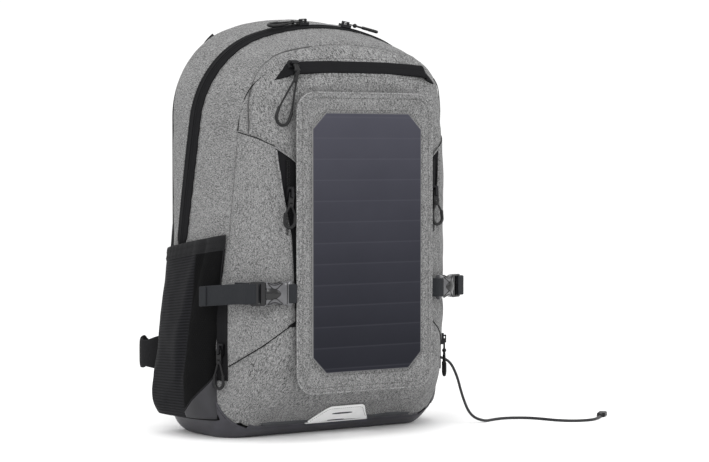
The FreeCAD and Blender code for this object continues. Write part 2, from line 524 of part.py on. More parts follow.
# front pocket slider on the band's flat face; its pull hangs in the gap behind the module's edge
fo = BAND_Q + BAND_N * 0.35 + V(-87, 0, 0)
put("front_slider", frame_place(SL, tuple(fo), (1, 0, 0), tuple(BAND_N)))
fp = on_slider(fo, BAND_N)
HANG = V(0, -BAND_D.y, -BAND_D.z)
flat_tab = Part.makeBox(5.0, 15.4, 1.2, V(-2.5, -13.0, -0.6)).cut(Part.makeBox(2.6, 2.4, 3, V(-1.3, -12.0, -1.5)))
tabf = frame_place(flat_tab, tuple(fp), tuple(HANG * -1), tuple(BAND_N))
knot_at = fp + HANG * 12.0
gp = V(knot_at.x - 2.0, -92.9, knot_at.z - 8.0)
tilt = math.radians(22)
down = V(-math.sin(tilt), 0, -math.cos(tilt))
grip = frame_place(grip_shape(0.0, 54.0, 8.6, 1.75), tuple(gp), tuple(down * -1), (0, -1, 0))
link = rod(tuple(knot_at), tuple(gp), 1.6)
put("front_pull", tabf.fuse([grip, link, Part.makeSphere(1.9, knot_at)]).removeSplitter())
joints["front"] = (fo, fp)

# sliders beside the module
sx, sz = -97.0, 271.0
so = (sx, -90.0 - 2.75, sz)
put("stash_slider_left", frame_place(SL, so, (0, 0, 1), (0, -1, 0)))
sp = on_slider(so, (0, -1, 0))
tl = math.radians(5)
put("stash_pull_left", frame_place(pull_shape(39.0), tuple(sp), (math.sin(tl), 0, math.cos(tl)), (0, -1, 0)))
joints["stash"] = (V(*so), sp)

# cable zip sliders
def side_point(y, z, out):
    y0 = y - 2
    d1 = -300 + hit((-300, y - 3, z), (1, 0, 0))
    d2 = -300 + hit((-300, y + 3, z), (1, 0, 0))
    t = V(d2 - d1, 6, 0).normalize()
    n = V(-t.y, t.x, 0)
    c = V(-300 + hit((-300, y, z), (1, 0, 0)), y, z)
    return c + n * out, n
co, cn2 = side_point(-31.0, 100.0, 1.5)
put("cable_slider_left", frame_place(SL, tuple(co), (0, 0, 1), tuple(cn2)))
cp = on_slider(co, cn2)
put("cable_pull_left", frame_place(pull_shape(44.0, 6.0, 1.7), tuple(cp), (0, 0, 1), tuple(cn2)))
joints["cable_left"] = (co, cp, cn2)
ro, rn = side_point(-53.5, 100.0, 1.5)
ro_m, rn_m = V(-ro.x, ro.y, ro.z), V(-rn.x, rn.y, 0)
put("cable_slider_right", frame_place(SL, tuple(ro_m), (0, 0, 1), tuple(rn_m)))
rp = on_slider(ro_m, rn_m)
put("cable_pull_right", frame_place(pull_shape(44.0, 6.0, 1.7), tuple(rp), (0, 0, 1), tuple(rn_m)))
joints["cable_right"] = (ro_m, rp, rn_m)
put("stash_slider_right", frame_place(SL, (-so[0], so[1], so[2]), (0, 0, 1), (0, -1, 0)))
put("stash_pull_right", frame_place(pull_shape(39.0), (-sp.x, sp.y, sp.z), (-math.sin(tl), 0, math.cos(tl)), (0, -1, 0)))

# main zip sliders, on the crown's arc in the parting plane
k = math.sqrt(1 + PART_SLOPE ** 2)
NRM = V(0, 1 / k, PART_SLOPE / k)
UPV = V(0, -PART_SLOPE / k, 1 / k)
def crown(x):
    p = V(x, plane_y(300), 300) + UPV * 300
    return p - UPV * hit(tuple(p), tuple(UPV * -1))
c0, c1 = crown(0.0), crown(78.0)
sag = (c0 - c1).dot(UPV)
ZR = (78.0 ** 2 + sag ** 2) / (2 * sag)
C0 = c0 - UPV * ZR
def main_slider(side, deg):
    q = math.radians(deg)
    rad = V(side * math.sin(q), 0, 0) + UPV * math.cos(q)
    tan = V(side * math.cos(q), 0, 0) - UPV * math.sin(q)
    return C0 + rad * (ZR + 2.3), tan, rad
for side, name, deg in ((-1, "left", 5.4), (1, "right", 7.2)):
    o, tan, rad = main_slider(side, deg)
    put("main_slider_" + name, frame_place(SL, tuple(o), tuple(tan), tuple(rad)))
    p = on_slider(o, rad)
    g = math.radians(3.5)
    t2 = tan * -math.cos(g) + rad * math.sin(g)
    n2 = rad * math.cos(g) + tan * math.sin(g)
    put("main_pull_" + name, frame_place(pull_shape(46.0), tuple(p), tuple(t2), tuple(n2)))
    joints["main_" + name] = (o, p, tan, rad)
joints["arc"] = (C0, NRM, ZR)

put("front_gusset", front_gusset)
put("front_panel", front_panel)

CORD_NODES = ("charging_cord", "usb_plug_overmold", "usb_plug_tip")
SHIFT = V(X_SHIFT, BACK_Y_SHIFT, 0)
for k, v in joints.items():
    print("joint", k, [tuple(round(c, 5) for c in (q + SHIFT if i < (1 if k == "arc" else 2) else q)) if hasattr(q, "x") else round(q, 4) for i, q in enumerate(v)])
lo, hi = [1e9] * 3, [-1e9] * 3
for name, s in nodes.items():
    s.translate(V(X_SHIFT, BACK_Y_SHIFT, 0))
    b = s.BoundBox
    solids = s.Solids
    bad = [q for q in solids if not q.isValid() or q.Volume <= 0]
    if bad or not solids:
        print("PROBLEM", name, len(solids), "solids", len(bad), "bad")
    if name not in CORD_NODES:
        lo = [min(lo[0], b.XMin), min(lo[1], b.YMin), min(lo[2], b.ZMin)]
        hi = [max(hi[0], b.XMax), max(hi[1], b.YMax), max(hi[2], b.ZMax)]
    s.exportStep("parts/%s.step" % name)
print("nodes", len(nodes), "box", [round(c, 2) for c in lo], [round(c, 2) for c in hi], "centre", [round((a + b) / 2, 2) for a, b in zip(lo, hi)])
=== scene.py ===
import bpy, bmesh, math
import numpy as np
from mathutils import Vector, Matrix, noise
from mathutils.bvhtree import BVHTree


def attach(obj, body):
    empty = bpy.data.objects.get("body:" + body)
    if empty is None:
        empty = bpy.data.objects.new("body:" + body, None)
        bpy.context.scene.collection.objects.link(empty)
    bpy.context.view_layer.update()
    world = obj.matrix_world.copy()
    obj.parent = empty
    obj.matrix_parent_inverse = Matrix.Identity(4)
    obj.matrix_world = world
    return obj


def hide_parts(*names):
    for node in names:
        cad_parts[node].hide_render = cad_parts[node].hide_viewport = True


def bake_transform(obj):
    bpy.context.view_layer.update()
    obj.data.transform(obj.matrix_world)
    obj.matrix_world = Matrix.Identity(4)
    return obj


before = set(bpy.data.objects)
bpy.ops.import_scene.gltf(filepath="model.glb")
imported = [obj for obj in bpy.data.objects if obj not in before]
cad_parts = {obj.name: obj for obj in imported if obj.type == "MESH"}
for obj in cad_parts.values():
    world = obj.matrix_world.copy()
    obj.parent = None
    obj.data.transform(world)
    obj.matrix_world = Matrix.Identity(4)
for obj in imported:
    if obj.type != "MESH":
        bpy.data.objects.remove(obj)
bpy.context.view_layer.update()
sc = bpy.context.scene
sc.view_settings.view_transform = "Standard"
sc.view_settings.look = "None"

# ------------------------------------------------------------------ frame helpers
# All shape numbers below are the design's own millimetres; the row frame is 12.7 mm further back.
BACK = -12.7
def W(p):
    return (p[0] / 1000.0, (p[1] + BACK) / 1000.0, p[2] / 1000.0)
def Wv(p):
    return Vector(W(p))

# ------------------------------------------------------------------ camera
VA = math.radians(34.0)
RIGHT = Vector((math.cos(VA), -math.sin(VA), 0))
INTO = Vector((math.sin(VA), math.cos(VA), 0))
eye = Wv((0, 0, 0)) - INTO * 2.5 + Vector((0, 0, 0.314))
look = (INTO + RIGHT * (38.5 / 2200) - Vector((0, 0, 78 / 2200))).normalized()
cam_data = bpy.data.cameras.new("camera")
cam_data.lens = 2200 * 36 / 709
cam_data.sensor_width = 36
cam_data.clip_start, cam_data.clip_end = 0.05, 50
cam = bpy.data.objects.new("camera", cam_data)
sc.collection.objects.link(cam)
cam.location = eye
cam.rotation_euler = look.to_track_quat("-Z", "Y").to_euler()
sc.camera = cam

# ------------------------------------------------------------------ materials
class G:
    """Small helper that builds one node material."""
    def __init__(self, name):
        self.m = bpy.data.materials.new(name)
        self.m.use_nodes = True
        self.nt = self.m.node_tree
        self.b = [n for n in self.nt.nodes if n.type == "BSDF_PRINCIPLED"][0]
        self.out = [n for n in self.nt.nodes if n.type == "OUTPUT_MATERIAL"][0]
        self.tc = self.nt.nodes.new("ShaderNodeTexCoord")
    def put(self, sock, val):
        if hasattr(val, "is_output"):
            self.nt.links.new(val, sock)
        else:
            sock.default_value = val
    def set(self, **kw):
        for k, v in kw.items():
            self.b.inputs[k.replace("_", " ")].default_value = v
    def math(self, op, a, b=0.0, c=0.0, clamp=False):
        n = self.nt.nodes.new("ShaderNodeMath")
        n.operation = op
        n.use_clamp = clamp
        for i, v in enumerate((a, b, c)):
            self.put(n.inputs[i], v)
        return n.outputs[0]
    def scale(self, vec, s):
        n = self.nt.nodes.new("ShaderNodeMapping")
        self.nt.links.new(vec, n.inputs["Vector"])
        n.inputs["Scale"].default_value = s
        return n.outputs[0]
    def noise(self, vec, s=(1, 1, 1), detail=2.0, rough=0.5, off=0.0):
        n = self.nt.nodes.new("ShaderNodeTexNoise")
        m = self.nt.nodes.new("ShaderNodeMapping")
        self.nt.links.new(vec, m.inputs["Vector"])
        m.inputs["Scale"].default_value = s
        m.inputs["Location"].default_value = (off, off * 1.7, off * 0.6)
        self.nt.links.new(m.outputs[0], n.inputs["Vector"])
        n.inputs["Scale"].default_value = 1.0
        n.inputs["Detail"].default_value = detail
        n.inputs["Roughness"].default_value = rough
        return n.outputs["Fac"]
    def xyz(self, vec):
        n = self.nt.nodes.new("ShaderNodeSeparateXYZ")
        self.nt.links.new(vec, n.inputs[0])
        return n.outputs
    def rng(self, v, a, b, c, d, smooth=False):
        n = self.nt.nodes.new("ShaderNodeMapRange")
        n.interpolation_type = "SMOOTHSTEP" if smooth else "LINEAR"
        self.put(n.inputs["Value"], v)
        for k, q in (("From Min", a), ("From Max", b), ("To Min", c), ("To Max", d)):
            n.inputs[k].default_value = q
        return n.outputs["Result"]
    def mix(self, fac, a, b):
        n = self.nt.nodes.new("ShaderNodeMix")
        n.data_type = "RGBA"
        self.put(n.inputs[0], fac)
        for i, v in ((6, a), (7, b)):
            if hasattr(v, "is_output"):
                self.nt.links.new(v, n.inputs[i])
            else:
                n.inputs[i].default_value = (v[0], v[1], v[2], 1)
        return n.outputs[2]
    def color(self, v):
        if hasattr(v, "is_output"):
            self.nt.links.new(v, self.b.inputs["Base Color"])
        else:
            self.b.inputs["Base Color"].default_value = (v[0], v[1], v[2], 1)
    def rough(self, v):
        self.put(self.b.inputs["Roughness"], v)
    def bump(self, h, dist=0.0003, strength=0.6):
        n = self.nt.nodes.new("ShaderNodeBump")
        n.inputs["Distance"].default_value = dist
        n.inputs["Strength"].default_value = strength
        self.nt.links.new(h, n.inputs["Height"])
        self.nt.links.new(n.outputs[0], self.b.inputs["Normal"])
    def bump_under(self, h, dist, strength):
        """A broad height under the last fine one."""
        last = self.b.inputs["Normal"].links[0].from_node
        n = self.nt.nodes.new("ShaderNodeBump")
        n.inputs["Distance"].default_value = dist
        n.inputs["Strength"].default_value = strength
        self.nt.links.new(h, n.inputs["Height"])
        self.nt.links.new(n.outputs[0], last.inputs["Normal"])
    def wave(self, x, pitch_mm, off=0.0):
        """0..1 sine of a coordinate in millimetres."""
        return self.math("MULTIPLY_ADD", self.math("SINE", self.math("MULTIPLY_ADD", x, 2 * math.pi / pitch_mm, off)), 0.5, 0.5)

def srgb(r, g=None, b=None):
    g = r if g is None else g
    b = r if b is None else b
    f = lambda c: (c / 255 / 12.92) if c / 255 <= 0.04045 else ((c / 255 + 0.055) / 1.055) ** 2.4
    return (f(r), f(g), f(b))
def mul(c, k):
    return tuple(x * k for x in c)

def mm_uv(g):
    return g.scale(g.tc.outputs["UV"], (1000, 1000, 1000))
def mm_obj(g):
    return g.scale(g.tc.outputs["Object"], (1000, 1000, 1000))

def woven(name, mid, contrast=1.0, tint=(1.0, 1.0, 1.0), seed=0.0, yarn=0.85):
    """Melange polyester: dark and light fibres in short streaks along both yarns, over a plain weave."""
    g = G(name)
    uv = mm_uv(g)
    a = g.noise(uv, (0.42, 1.9, 1), 2.0, 0.6, 3.1 + seed)
    b = g.noise(uv, (1.9, 0.42, 1), 2.0, 0.6, 17.7 + seed)
    fine = g.noise(uv, (1.5, 1.5, 1), 2.0, 0.6, 9.0 + seed)
    soft = g.noise(uv, (0.035, 0.035, 1), 2.0, 0.5, 5.0 + seed)
    s = g.math("ADD", g.math("MULTIPLY", a, 0.5), g.math("MULTIPLY", b, 0.5))
    s = g.math("MULTIPLY_ADD", g.math("SUBTRACT", fine, 0.5), 0.35, s)
    s = g.math("MULTIPLY_ADD", g.math("SUBTRACT", soft, 0.5), 0.05, s)
    k = 0.105 / contrast
    f = g.rng(s, 0.5 - k, 0.5 + k, 0.0, 1.0)
    lo = tuple(m * t * 0.22 for m, t in zip((mid,) * 3, tint))
    hi = tuple(m * t * 1.86 for m, t in zip((mid,) * 3, tint))
    g.color(g.mix(f, lo, hi))
    x = g.xyz(uv)
    w = g.math("MULTIPLY", g.wave(x[0], yarn), g.wave(x[1], yarn, 1.3))
    h = g.math("ADD", g.math("MULTIPLY", w, 0.55), g.math("MULTIPLY", f, 0.45))
    om = mm_obj(g)
    big = g.math("ADD", g.noise(om, (0.030, 0.030, 0.022), 2.0, 0.5, 31.0), g.math("MULTIPLY", g.noise(om, (0.085, 0.085, 0.06), 2.0, 0.5, 37.0), 0.35))
    g.bump(h, 0.00035, 0.55)
    g.bump_under(big, 0.0026, 1.0)
    g.set(Roughness=0.92, Specular_IOR_Level=0.15, Sheen_Weight=0.05, Sheen_Roughness=0.6)
    return g.m

def dark_cloth(name, col, pitch=0.7, rough=0.85, bump=0.4, sheen=0.0, spec=0.12, dirs=2, use="UV", vary=0.25):
    """Plain black cloths: tape, lining, hem, webbing."""
    col = mul(col, 0.5)
    spec, sheen = min(spec, 0.14), min(sheen, 0.02)
    g = G(name)
    v = mm_uv(g) if use == "UV" else mm_obj(g)
    x = g.xyz(v)
    n = g.noise(v, (0.8, 0.8, 0.8), 2.0, 0.6, 2.0)
    n2 = g.noise(v, (0.05, 0.05, 0.05), 2.0, 0.5, 12.0)
    f = g.math("ADD", g.math("MULTIPLY", n, 0.7), g.math("MULTIPLY", n2, 0.3))
    g.color(g.mix(g.rng(f, 0.3, 0.7, 0, 1), mul(col, 1 - vary), mul(col, 1 + vary)))
    w = g.wave(x[0], pitch)
    if dirs == 2:
        w = g.math("MULTIPLY", w, g.wave(x[1], pitch, 0.8))
    g.bump(g.math("MULTIPLY_ADD", n, 0.4, w), 0.0003, bump)
    g.set(Roughness=rough, Specular_IOR_Level=spec, Sheen_Weight=sheen, Sheen_Roughness=0.5)
    return g.m

def webbing_mat(name, col, pitch=1.5):
    """Ribbed webbing: raised ribs along its length and small yarn floats between them."""
    col = mul(col, 0.5)
    g = G(name)
    v = mm_uv(g)
    x = g.xyz(v)
    rib = g.wave(x[1], pitch)
    fl = g.wave(g.math("ADD", x[0], g.math("MULTIPLY", x[1], 0.5)), 1.1)
    n = g.noise(v, (0.6, 1.2, 1), 2.0, 0.6, 4.0)
    h = g.math("ADD", g.math("MULTIPLY", rib, 0.6), g.math("MULTIPLY", fl, 0.4))
    g.color(g.mix(g.math("MULTIPLY_ADD", n, 0.5, g.math("MULTIPLY", h, 0.5)), mul(col, 0.55), mul(col, 1.45)))
    g.bump(h, 0.0005, 0.7)
    g.set(Roughness=0.7, Specular_IOR_Level=0.16, Sheen_Weight=0.02, Sheen_Roughness=0.4)
    return g.m

def plastic(name, col, rough=0.35, grain=0.15, use="OBJ", coat=0.0, metallic=0.0):
    g = G(name)
    if metallic < 0.2 and max(col) < 0.25:
        col = mul(col, 0.45)
        g.set(Specular_IOR_Level=0.3)
    v = mm_obj(g)
    n = g.noise(v, (1.6, 1.6, 1.6), 2.0, 0.6, 7.0)
    w = g.noise(v, (0.12, 0.12, 0.12), 2.0, 0.5, 1.0)
    g.color(g.mix(g.rng(w, 0.3, 0.7, 0, 1), mul(col, 0.85), mul(col, 1.15)))
    g.rough(g.rng(g.math("MULTIPLY_ADD", n, 0.5, g.math("MULTIPLY", w, 0.5)), 0.3, 0.7, max(0.03, rough - 0.08), rough + 0.1))
    g.bump(n, 0.0001, grain)
    g.set(Metallic=metallic, Coat_Weight=coat, Coat_Roughness=0.12)
    return g.m

GREY = woven("woven_grey", 0.158)
GREY_SIDE = woven("woven_grey_side", 0.158, seed=40.0)
GREY_WING = woven("woven_grey_wing", 0.158, seed=80.0)
GREY_MOD = woven("woven_grey_module", 0.152, seed=120.0)
GREY_PIPE = woven("woven_grey_piping", 0.185, seed=160.0)
TAPE = dark_cloth("zip_tape_black", srgb(34, 34, 36), 0.8, 0.9, 0.3, 0.0, 0.10, vary=0.16)
# grey for the painted shadow line drawn in the front seam's crease
SEAM_SHADE_GREY = dark_cloth("seam_shadow_grey", srgb(118), 0.6, 0.9, 0.3, use="OBJ")
SEAM = dark_cloth("seam_thread_dark", srgb(40), 0.6, 0.9, 0.3, use="OBJ")
THREAD = dark_cloth("thread_grey", srgb(120, 120, 118), 0.5, 0.8, 0.3, use="OBJ", vary=0.2)
THREAD_D = dark_cloth("thread_black", srgb(44), 0.5, 0.7, 0.3, use="OBJ")
THREAD_L = dark_cloth("thread_pale", srgb(190), 0.5, 0.7, 0.3, use="OBJ", vary=0.1)
HEM = dark_cloth("hem_black", srgb(38, 38, 40), 0.9, 0.8, 0.35, 0.12, 0.3)
LINING = dark_cloth("lining_grey", srgb(96, 97, 100), 0.6, 0.85, 0.3, 0.1, 0.25)
WEB = webbing_mat("webbing_black", srgb(50, 52, 56))
BINDING = webbing_mat("binding_black", srgb(44, 45, 47), 1.1)

def coated_mat(name="coated_base", k=1.0):
    """Coated base cloth: smooth film over a fine weave, soft sheen."""
    g = G(name)
    v = mm_uv(g)
    x = g.xyz(v)
    n = g.noise(v, (0.05, 0.05, 1), 3.0, 0.55, 3.0)
    f = g.noise(v, (0.9, 0.9, 1), 2.0, 0.6, 8.0)
    g.color(g.mix(g.rng(n, 0.3, 0.7, 0, 1), mul(srgb(56, 55, 61), 0.6 * k), mul(srgb(74, 73, 81), 0.62 * k)))
    g.rough(g.rng(g.math("MULTIPLY_ADD", f, 0.4, g.math("MULTIPLY", n, 0.6)), 0.3, 0.7, 0.36, 0.52))
    w = g.math("MULTIPLY", g.wave(x[0], 0.9), g.wave(x[1], 0.9, 0.8))
    h = g.math("ADD", g.math("MULTIPLY", w, 0.25), g.math("MULTIPLY", f, 0.5))
    g.bump(h, 0.00025, 0.35)
    g.set(Specular_IOR_Level=0.42)
    return g.m
COATED = coated_mat()
GORE = coated_mat("coated_gore", 0.45)

def pocket_mat():
    """Stretch pocket: hexagonal holes in the mesh and horizontal ribs on the elastic panel."""
    g = G("pocket_stretch_mesh")
    v = mm_uv(g)
    x = g.xyz(v)
    o = g.xyz(mm_obj(g))
    # elastic panel lies behind a line that leans back towards the bottom
    line = g.math("MULTIPLY_ADD", o[2], 0.075, g.math("MULTIPLY_ADD", o[1], 1.0, 0.0))
    rib_zone = g.rng(line, 1.0, 3.0, 0, 1)
    rib = g.wave(x[1], 3.2)
    cell = g.math("MULTIPLY", g.wave(g.math("ADD", x[0], g.math("MULTIPLY", x[1], 0.577)), 2.3), g.wave(g.math("SUBTRACT", x[0], g.math("MULTIPLY", x[1], 0.577)), 2.3))
    n = g.noise(v, (0.5, 0.5, 1), 2.0, 0.6, 2.0)
    mesh_c = g.mix(g.rng(cell, 0.25, 0.6, 0, 1), srgb(11, 11, 12), srgb(2, 2, 2))
    rib_c = g.mix(g.math("MULTIPLY_ADD", n, 0.3, g.math("MULTIPLY", rib, 0.7)), srgb(8, 8, 9), srgb(33, 33, 36))
    g.color(g.mix(rib_zone, mesh_c, rib_c))
    h = g.math("ADD", g.math("MULTIPLY", g.math("MULTIPLY", rib, rib_zone), 1.0),
               g.math("MULTIPLY", g.math("MULTIPLY", g.math("SUBTRACT", 1.0, cell), g.math("SUBTRACT", 1.0, rib_zone)), 0.5))
    g.bump(h, 0.0007, 0.8)
    g.rough(g.mix(rib_zone, (0.75,) * 3, (0.6,) * 3))
    g.set(Specular_IOR_Level=0.07)
    return g.m
POCKET_M = pocket_mat()

def airmesh_mat():
    g = G("air_mesh_black")
    v = mm_uv(g)
    x = g.xyz(v)
    c1 = g.wave(x[0], 3.4)
    c2 = g.wave(x[1], 3.4, 1.6)
    cell = g.math("MULTIPLY", c1, c2)
    n = g.noise(v, (0.4, 0.4, 1), 2.0, 0.6, 2.0)
    f = g.rng(cell, 0.2, 0.65, 0, 1)
    g.color(g.mix(f, srgb(40, 41, 43), srgb(12, 12, 13)))
    g.bump(g.math("MULTIPLY_ADD", n, 0.2, g.math("SUBTRACT", 1.0, f)), 0.0008, 0.8)
    g.set(Roughness=0.85, Specular_IOR_Level=0.14, Sheen_Weight=0.03)
    return g.m
AIRMESH = airmesh_mat()

def reflective_mat():
    g = G("reflective_silver")
    v = mm_obj(g)
    n = g.noise(v, (0.9, 0.9, 0.9), 2.0, 0.6, 2.0)
    n2 = g.noise(v, (0.06, 0.06, 0.06), 2.0, 0.6, 2.0)
    g.color(g.mix(g.rng(n2, 0.3, 0.7, 0, 1), srgb(222), srgb(234)))
    g.rough(g.rng(n, 0.3, 0.7, 0.42, 0.55))
    g.bump(n, 0.0001, 0.25)
    g.set(Specular_IOR_Level=0.5)
    return g.m
REFLECT = reflective_mat()

def film_mat():
    """Solar laminate's face: dark blue-grey cell strips with hair lines between them under a satin film."""
    g = G("solar_front_film")
    o = g.xyz(mm_obj(g))
    z0, pitch = 216.0 - 137.0, 274.0 / 12
    zz = g.math("DIVIDE", g.math("SUBTRACT", o[2], z0), pitch)
    fr = g.math("FRACT", zz)
    edge = g.math("MINIMUM", fr, g.math("SUBTRACT", 1.0, fr))
    line = g.rng(edge, 0.012, 0.045, 1, 0)
    n = g.noise(mm_obj(g), (0.02, 0.02, 0.02), 2.0, 0.5, 4.0)
    # painted reflection: the film's base colour runs from dark at the bottom to lighter at the top, standing in for the
    # studio light reflected in the film
    painted_reflection_grad = g.rng(o[2], 75, 357, 0, 1)
    painted_reflection_grad = g.math("POWER", painted_reflection_grad, 1.5)
    base = g.mix(painted_reflection_grad, srgb(20, 21, 29), srgb(57, 57, 66))
    base = g.mix(g.rng(n, 0.3, 0.7, 0, 1), base, g.mix(painted_reflection_grad, srgb(22, 23, 31), srgb(60, 60, 69)))
    # each strip is a touch lighter towards its upper edge
    base = g.mix(g.math("MULTIPLY", fr, 0.03), base, srgb(80, 80, 90))
    base = g.mix(g.math("MULTIPLY", line, 0.10), base, srgb(92, 92, 100))
    # pale rim where the backsheet shows
    ax = g.math("ABSOLUTE", o[0])
    az = g.math("ABSOLUTE", g.math("SUBTRACT", o[2], 216.0))
    d1 = g.math("SUBTRACT", 72.7, ax)
    d2 = g.math("SUBTRACT", 141.5, az)
    d3 = g.math("MULTIPLY", g.math("SUBTRACT", 72.7 + 141.5 - 17.5, g.math("ADD", ax, az)), 0.7071)
    d = g.math("MINIMUM", g.math("MINIMUM", d1, d2), d3)
    rim = g.rng(d, 0.5, 0.8, 1, 0)
    g.color(g.mix(rim, base, srgb(96, 96, 98)))
    gr = g.noise(mm_obj(g), (1.5, 1.5, 1.5), 2.0, 0.5, 1.0)
    g.bump(gr, 0.00006, 0.15)
    g.rough(g.rng(gr, 0.3, 0.7, 0.34, 0.42))
    g.set(Specular_IOR_Level=0.12)
    return g.m
FILM = film_mat()
CELL = plastic("solar_cell_blue", srgb(40, 42, 60), 0.3)
BACKSHEET = plastic("backsheet_pale", srgb(150, 150, 148), 0.6)
BUCKLE = plastic("buckle_gunmetal", srgb(112, 112, 116), 0.16, 0.04, coat=0.8)
BUCKLE_D = plastic("buckle_black", srgb(28, 28, 31), 0.32, 0.1, coat=0.2)
PULLM = plastic("pull_moulded", srgb(19, 19, 21), 0.42, 0.2)
METAL = plastic("slider_gunmetal", srgb(32, 32, 34), 0.3, 0.08, metallic=0.75)
STUD = plastic("stud_nickel", srgb(150, 148, 144), 0.25, 0.05, metallic=0.9)
PLUGM = plastic("plug_metal", srgb(170, 170, 168), 0.28, 0.05, metallic=0.9)
MOULD = plastic("moulding_black", srgb(42, 42, 44), 0.5, 0.25)
CABLE = plastic("cable_dark", srgb(58, 58, 61), 0.5, 0.2)
STIFF = plastic("frame_sheet_pe", srgb(60, 60, 62), 0.5, 0.2)

# ------------------------------------------------------------------ mesh helpers
def mesh_object(name, verts, faces, mats, uvs=None, smooth=True, face_mat=None):
    me = bpy.data.meshes.new(name)
    me.from_pydata([W(v) for v in verts], [], faces)
    if uvs is not None:
        lay = me.uv_layers.new(name="UVMap")
        for poly in me.polygons:
            for li in poly.loop_indices:
                q = uvs[me.loops[li].vertex_index]
                lay.data[li].uv = (q[0] / 1000.0, q[1] / 1000.0)
    for m in (mats if isinstance(mats, (list, tuple)) else [mats]):
        me.materials.append(m)
    if face_mat is not None:
        for poly, k in zip(me.polygons, face_mat):
            poly.material_index = k
    for poly in me.polygons:
        poly.use_smooth = smooth
    o = bpy.data.objects.new(name, me)
    sc.collection.objects.link(o)
    return o

def tidy(o, dist=1e-5):
    """Merges the points that fall together and drops faces with no area."""
    bm = bmesh.new()
    bm.from_mesh(o.data)
    bmesh.ops.remove_doubles(bm, verts=bm.verts, dist=dist)
    bmesh.ops.dissolve_degenerate(bm, edges=bm.edges, dist=1e-6)
    bm.to_mesh(o.data)
    bm.free()
    return o

def grid(name, P, mats, UV=None, wrap=False, skip=None, cap_end=False, smooth=True, flip=False):
    """P[i][j] points in mm. wrap closes it along j."""
    n, m = len(P), len(P[0])
    verts = [tuple(q) for row in P for q in row]
    if UV is None:
        UV = uv_from(P)
    uvs = [tuple(q) for row in UV for q in row]
    faces = []
    mj = m if wrap else m - 1
    for i in range(n - 1):
        for j in range(mj):
            if skip and skip(i, j):
                continue
            a, b, c, d = i * m + j, i * m + (j + 1) % m, (i + 1) * m + (j + 1) % m, (i + 1) * m + j
            faces.append((a, d, c, b) if flip else (a, b, c, d))
    if cap_end:
        faces.append(tuple(range(m)) if flip else tuple(range(m))[::-1])
        faces.append(tuple((n - 1) * m + k for k in range(m))[::-1] if flip else tuple((n - 1) * m + k for k in range(m)))
    return mesh_object(name, verts, faces, mats, uvs, smooth)

def uv_from(P):
    """UV in millimetres: lengths along the middle row and column."""
    n, m = len(P), len(P[0])
    mi, mj = n // 2, m // 2
    u = [0.0]
    for j in range(1, m):
        u.append(u[-1] + (Vector(P[mi][j]) - Vector(P[mi][j - 1])).length)
    v = [0.0]
    for i in range(1, n):
        v.append(v[-1] + (Vector(P[i][mj]) - Vector(P[i - 1][mj])).length)
    return [[(u[j], v[i]) for j in range(m)] for i in range(n)]

def orient(o, centre=(0, 15, 225)):
    """Turns an open sheet's faces away from the bag's middle, or from the given point in mm."""
    c = Wv(centre)
    me = o.data
    tot = sum((p.center - c).normalized().dot(p.normal) * p.area for p in me.polygons)
    if tot < 0:
        me.flip_normals()
    return o

def solidify(o, mm, offset=-1.0):
    orient(o)
    s = o.modifiers.new("thick", "SOLIDIFY")
    s.thickness = mm / 1000.0
    s.offset = offset
    s.use_even_offset = False
    s.use_quality_normals = True
    return o

def done(o, body, slot, *replaces):
    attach(o, body)
    if replaces:
        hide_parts(*replaces)
    return o

def tube(name, pts, r, mat, seg=8, closed=False):
    """A round tube through points in mm; r may be a list."""
    P = [Vector(p) for p in pts]
    n = len(P)
    rows = []
    up = None
    for i in range(n):
        a = P[(i - 1) % n] if (closed or i > 0) else P[i]
        b = P[(i + 1) % n] if (closed or i < n - 1) else P[i]
        t = (b - a).normalized()
        if up is None:
            up = Vector((0, 0, 1)) if abs(t.z) < 0.9 else Vector((1, 0, 0))
        s = t.cross(up).normalized()
        up = s.cross(t).normalized()
        rr = r[i] if isinstance(r, (list, tuple)) else r
        rows.append([P[i] + s * (rr * math.cos(2 * math.pi * k / seg)) + up * (rr * math.sin(2 * math.pi * k / seg)) for k in range(seg)])
    if closed:
        rows.append(rows[0])
    o = grid(name, rows, mat, wrap=True, cap_end=not closed)
    if closed:
        tidy(o)
    return o

def resample(pts, step):
    P = [Vector(p) for p in pts]
    L = [0.0]
    for a, b in zip(P, P[1:]):
        L.append(L[-1] + (b - a).length)
    n = max(2, int(round(L[-1] / step)) + 1)
    out, k = [], 0
    for i in range(n):
        d = L[-1] * i / (n - 1)
        while k < len(L) - 2 and L[k + 1] < d:
            k += 1
        t = (d - L[k]) / max(1e-9, L[k + 1] - L[k])
        out.append(P[k].lerp(P[k + 1], t))
    return out

def smooth_line(pts, n=8):
    """Catmull-Rom through the points."""
    P = [Vector(p) for p in pts]
    P = [P[0] * 2 - P[1]] + P + [P[-1] * 2 - P[-2]]
    out = []
    for i in range(1, len(P) - 2):
        for k in range(n):
            t = k / n
            a, b, c, d = P[i - 1], P[i], P[i + 1], P[i + 2]
            out.append(0.5 * ((2 * b) + (c - a) * t + (2 * a - 5 * b + 4 * c - d) * t * t + (3 * b - a - 3 * c + d) * t ** 3))
    out.append(P[-2])
    return out

